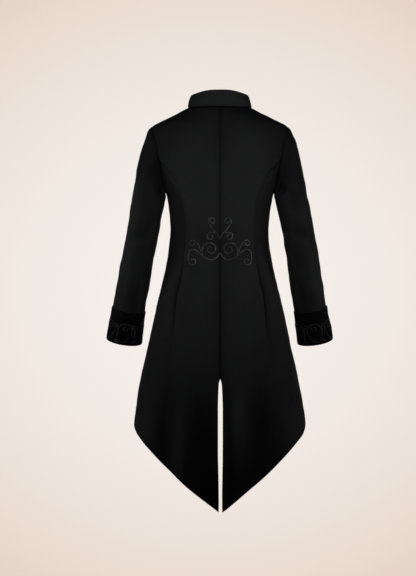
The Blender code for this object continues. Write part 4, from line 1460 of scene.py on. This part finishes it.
def build_cloth():
    """Every cloth piece of the coat."""
    cloth = cloth_material()
    velvet = velvet_material()
    for side, word in SIDES:
        back = body_panel(
            f"back_cloth_{word}", side, (centre_edge, back_outer_edge), ("centre", "armhole"),
            0.0, COLUMNS["back"], arm_low=ARMHOLE_MIDDLE)
        dress(back, cloth, [f"centre_back_{word}"])
        hind = body_panel(
            f"side_cloth_{word}", side, (princess_edge, side_outer_edge), ("princess", "armhole"),
            SIDE_BACK_TIP, COLUMNS["side"])
        dress(hind, cloth, [f"side_back_{word}"])
        fore = body_panel(
            f"front_cloth_{word}", side, (front_outer_edge, front_inner_edge), ("armhole", "free"),
            0.0, COLUMNS["front"], over=side == LEFT)
        dress(fore, cloth, [f"front_{word}"])
        for half, first_turn in (("top", HIND_SEAM - math.pi), ("under", HIND_SEAM)):
            sleeve = sleeve_panel(f"{half}_sleeve_cloth_{word}", side, first_turn)
            dress(sleeve, cloth, [f"{half}_sleeve_{word}"])
        dress(cuff_panel(f"cuff_velvet_{word}", side), velvet, [f"cuff_{word}"])
    dress(collar_piece(), cloth, ["collar"])


def build_trimmings():
    """Soutache, cuff embroidery and buttons."""
    soutache = thread_material("soutache_braid", SOUTACHE_COLOURS, **SOUTACHE_PLIES)
    satin = thread_material("scroll_thread", SATIN_COLOURS, **SATIN_PLIES)
    gloss = button_material()
    dress(back_ornament(), soutache, [])
    for side, word in SIDES:
        dress(cuff_ornament(side, word), satin, [])
    for i in range(BUTTON_COUNT):
        dress(button_piece(i), gloss, [f"button_{i + 1}"])


def declare_sheets():
    """Build, for each cloth piece, the names of what it hangs from and of its trimmings; the lists
    are not kept.
    """
    for kind, cut in CUTS.items():
        for word in ("",) if kind == "collar_cloth" else ("_left", "_right"):
            [held.format(word) for held in cut.rests_on]
            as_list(TRIMMED_WITH.get(kind + word, ()))


def add_light(name, place, aim, width, height, power, spread):
    """A soft light; a narrow spread keeps it to what it aims at."""
    lamp = bpy.data.lights.new(name, "AREA")
    lamp.shape = "RECTANGLE"
    lamp.size = width
    lamp.size_y = height
    lamp.energy = power
    lamp.spread = math.radians(spread)
    thing = bpy.data.objects.new(name, lamp)
    thing.location = place
    thing.rotation_euler = (Vector(aim) - Vector(place)).to_track_quat("-Z", "Y").to_euler()
    bpy.context.scene.collection.objects.link(thing)


def add_world():
    """A pale cream surround, a little darker away from eye level, that barely lights the coat."""
    world = bpy.data.worlds.new("pale_surround")
    bpy.context.scene.world = world
    world.use_nodes = True
    nodes = Nodes(world.node_tree)
    light = world.node_tree.nodes["Background"]
    light.inputs["Strength"].default_value = SKY_LIGHT
    light.inputs["Color"].default_value = SKY_LIGHT_COLOUR
    x, y, z = nodes.split(nodes.place("Generated"))
    level = nodes.maths("POWER", nodes.maths("DIVIDE", z, SKY_RISE), 2.0)
    bearing = nodes.maths("ARCTAN2", x, y)
    wave = nodes.maths("SINE", nodes.maths("MULTIPLY", bearing, SKY_WAVES))
    wave = nodes.maths("POWER", wave, 2.0)
    share = nodes.maths("MULTIPLY_ADD", wave, SKY_WAVE_STRENGTH, level)
    colour = nodes.ramp(nodes.maths("MINIMUM", share, 1.0), *SKY_COLOURS)
    seen = nodes.add("Background", {"Color": colour}).outputs[0]
    eye = nodes.add("LightPath").outputs["Is Camera Ray"]
    chosen = nodes.add("MixShader", {0: eye, 1: light.outputs[0], 2: seen}).outputs[0]
    nodes.give(world.node_tree.nodes["World Output"].inputs["Surface"], chosen)


def add_floor():
    """A plain pale floor that fades out with distance and glows to the camera only."""
    turns = np.arange(FLOOR_SIDES) * FULL_TURN / FLOOR_SIDES
    rim = points_of(FLOOR_RADIUS * np.cos(turns), FLOOR_RADIUS * np.sin(turns), 0)
    floor = make_mesh("pale_floor", rim, [list(range(FLOOR_SIDES))])
    floor.location = (0, 0, FLOOR_HEIGHT)
    material, nodes, shader = new_material("pale_floor")
    shader["Base Color"].default_value = FLOOR_COLOUR
    shader["Roughness"].default_value = FLOOR_ROUGHNESS
    shader["Emission Color"].default_value = FLOOR_GLOW_COLOUR
    eye = nodes.add("LightPath").outputs["Is Camera Ray"]
    nodes.give(shader["Emission Strength"], nodes.maths("MULTIPLY", eye, FLOOR_GLOW))
    far = nodes.add("VectorMath", {0: nodes.place()}, operation="LENGTH").outputs["Value"]
    gone = nodes.maths("MULTIPLY_ADD", far, -2 / FLOOR_RADIUS, 2.0)
    nodes.give(shader["Alpha"], nodes.clamp(gone, 0.0, 1.0))
    floor.data.materials.append(material)


def add_camera():
    """The photo's view: level, from behind the coat."""
    lens = bpy.data.cameras.new("view")
    lens.sensor_width = CAMERA_SENSOR
    lens.lens = CAMERA_SENSOR * CAMERA_PLACE[1] / CAMERA_VIEW_WIDTH
    camera = bpy.data.objects.new("view", lens)
    camera.location = CAMERA_PLACE
    camera.rotation_euler = (math.pi / 2, 0, math.pi)
    bpy.context.scene.collection.objects.link(camera)
    bpy.context.scene.camera = camera


build_cloth()
build_trimmings()
declare_sheets()
add_world()
add_floor()
add_camera()
for light in LIGHTS:
    add_light(*light)
bpy.context.scene.view_settings.view_transform = "Standard"
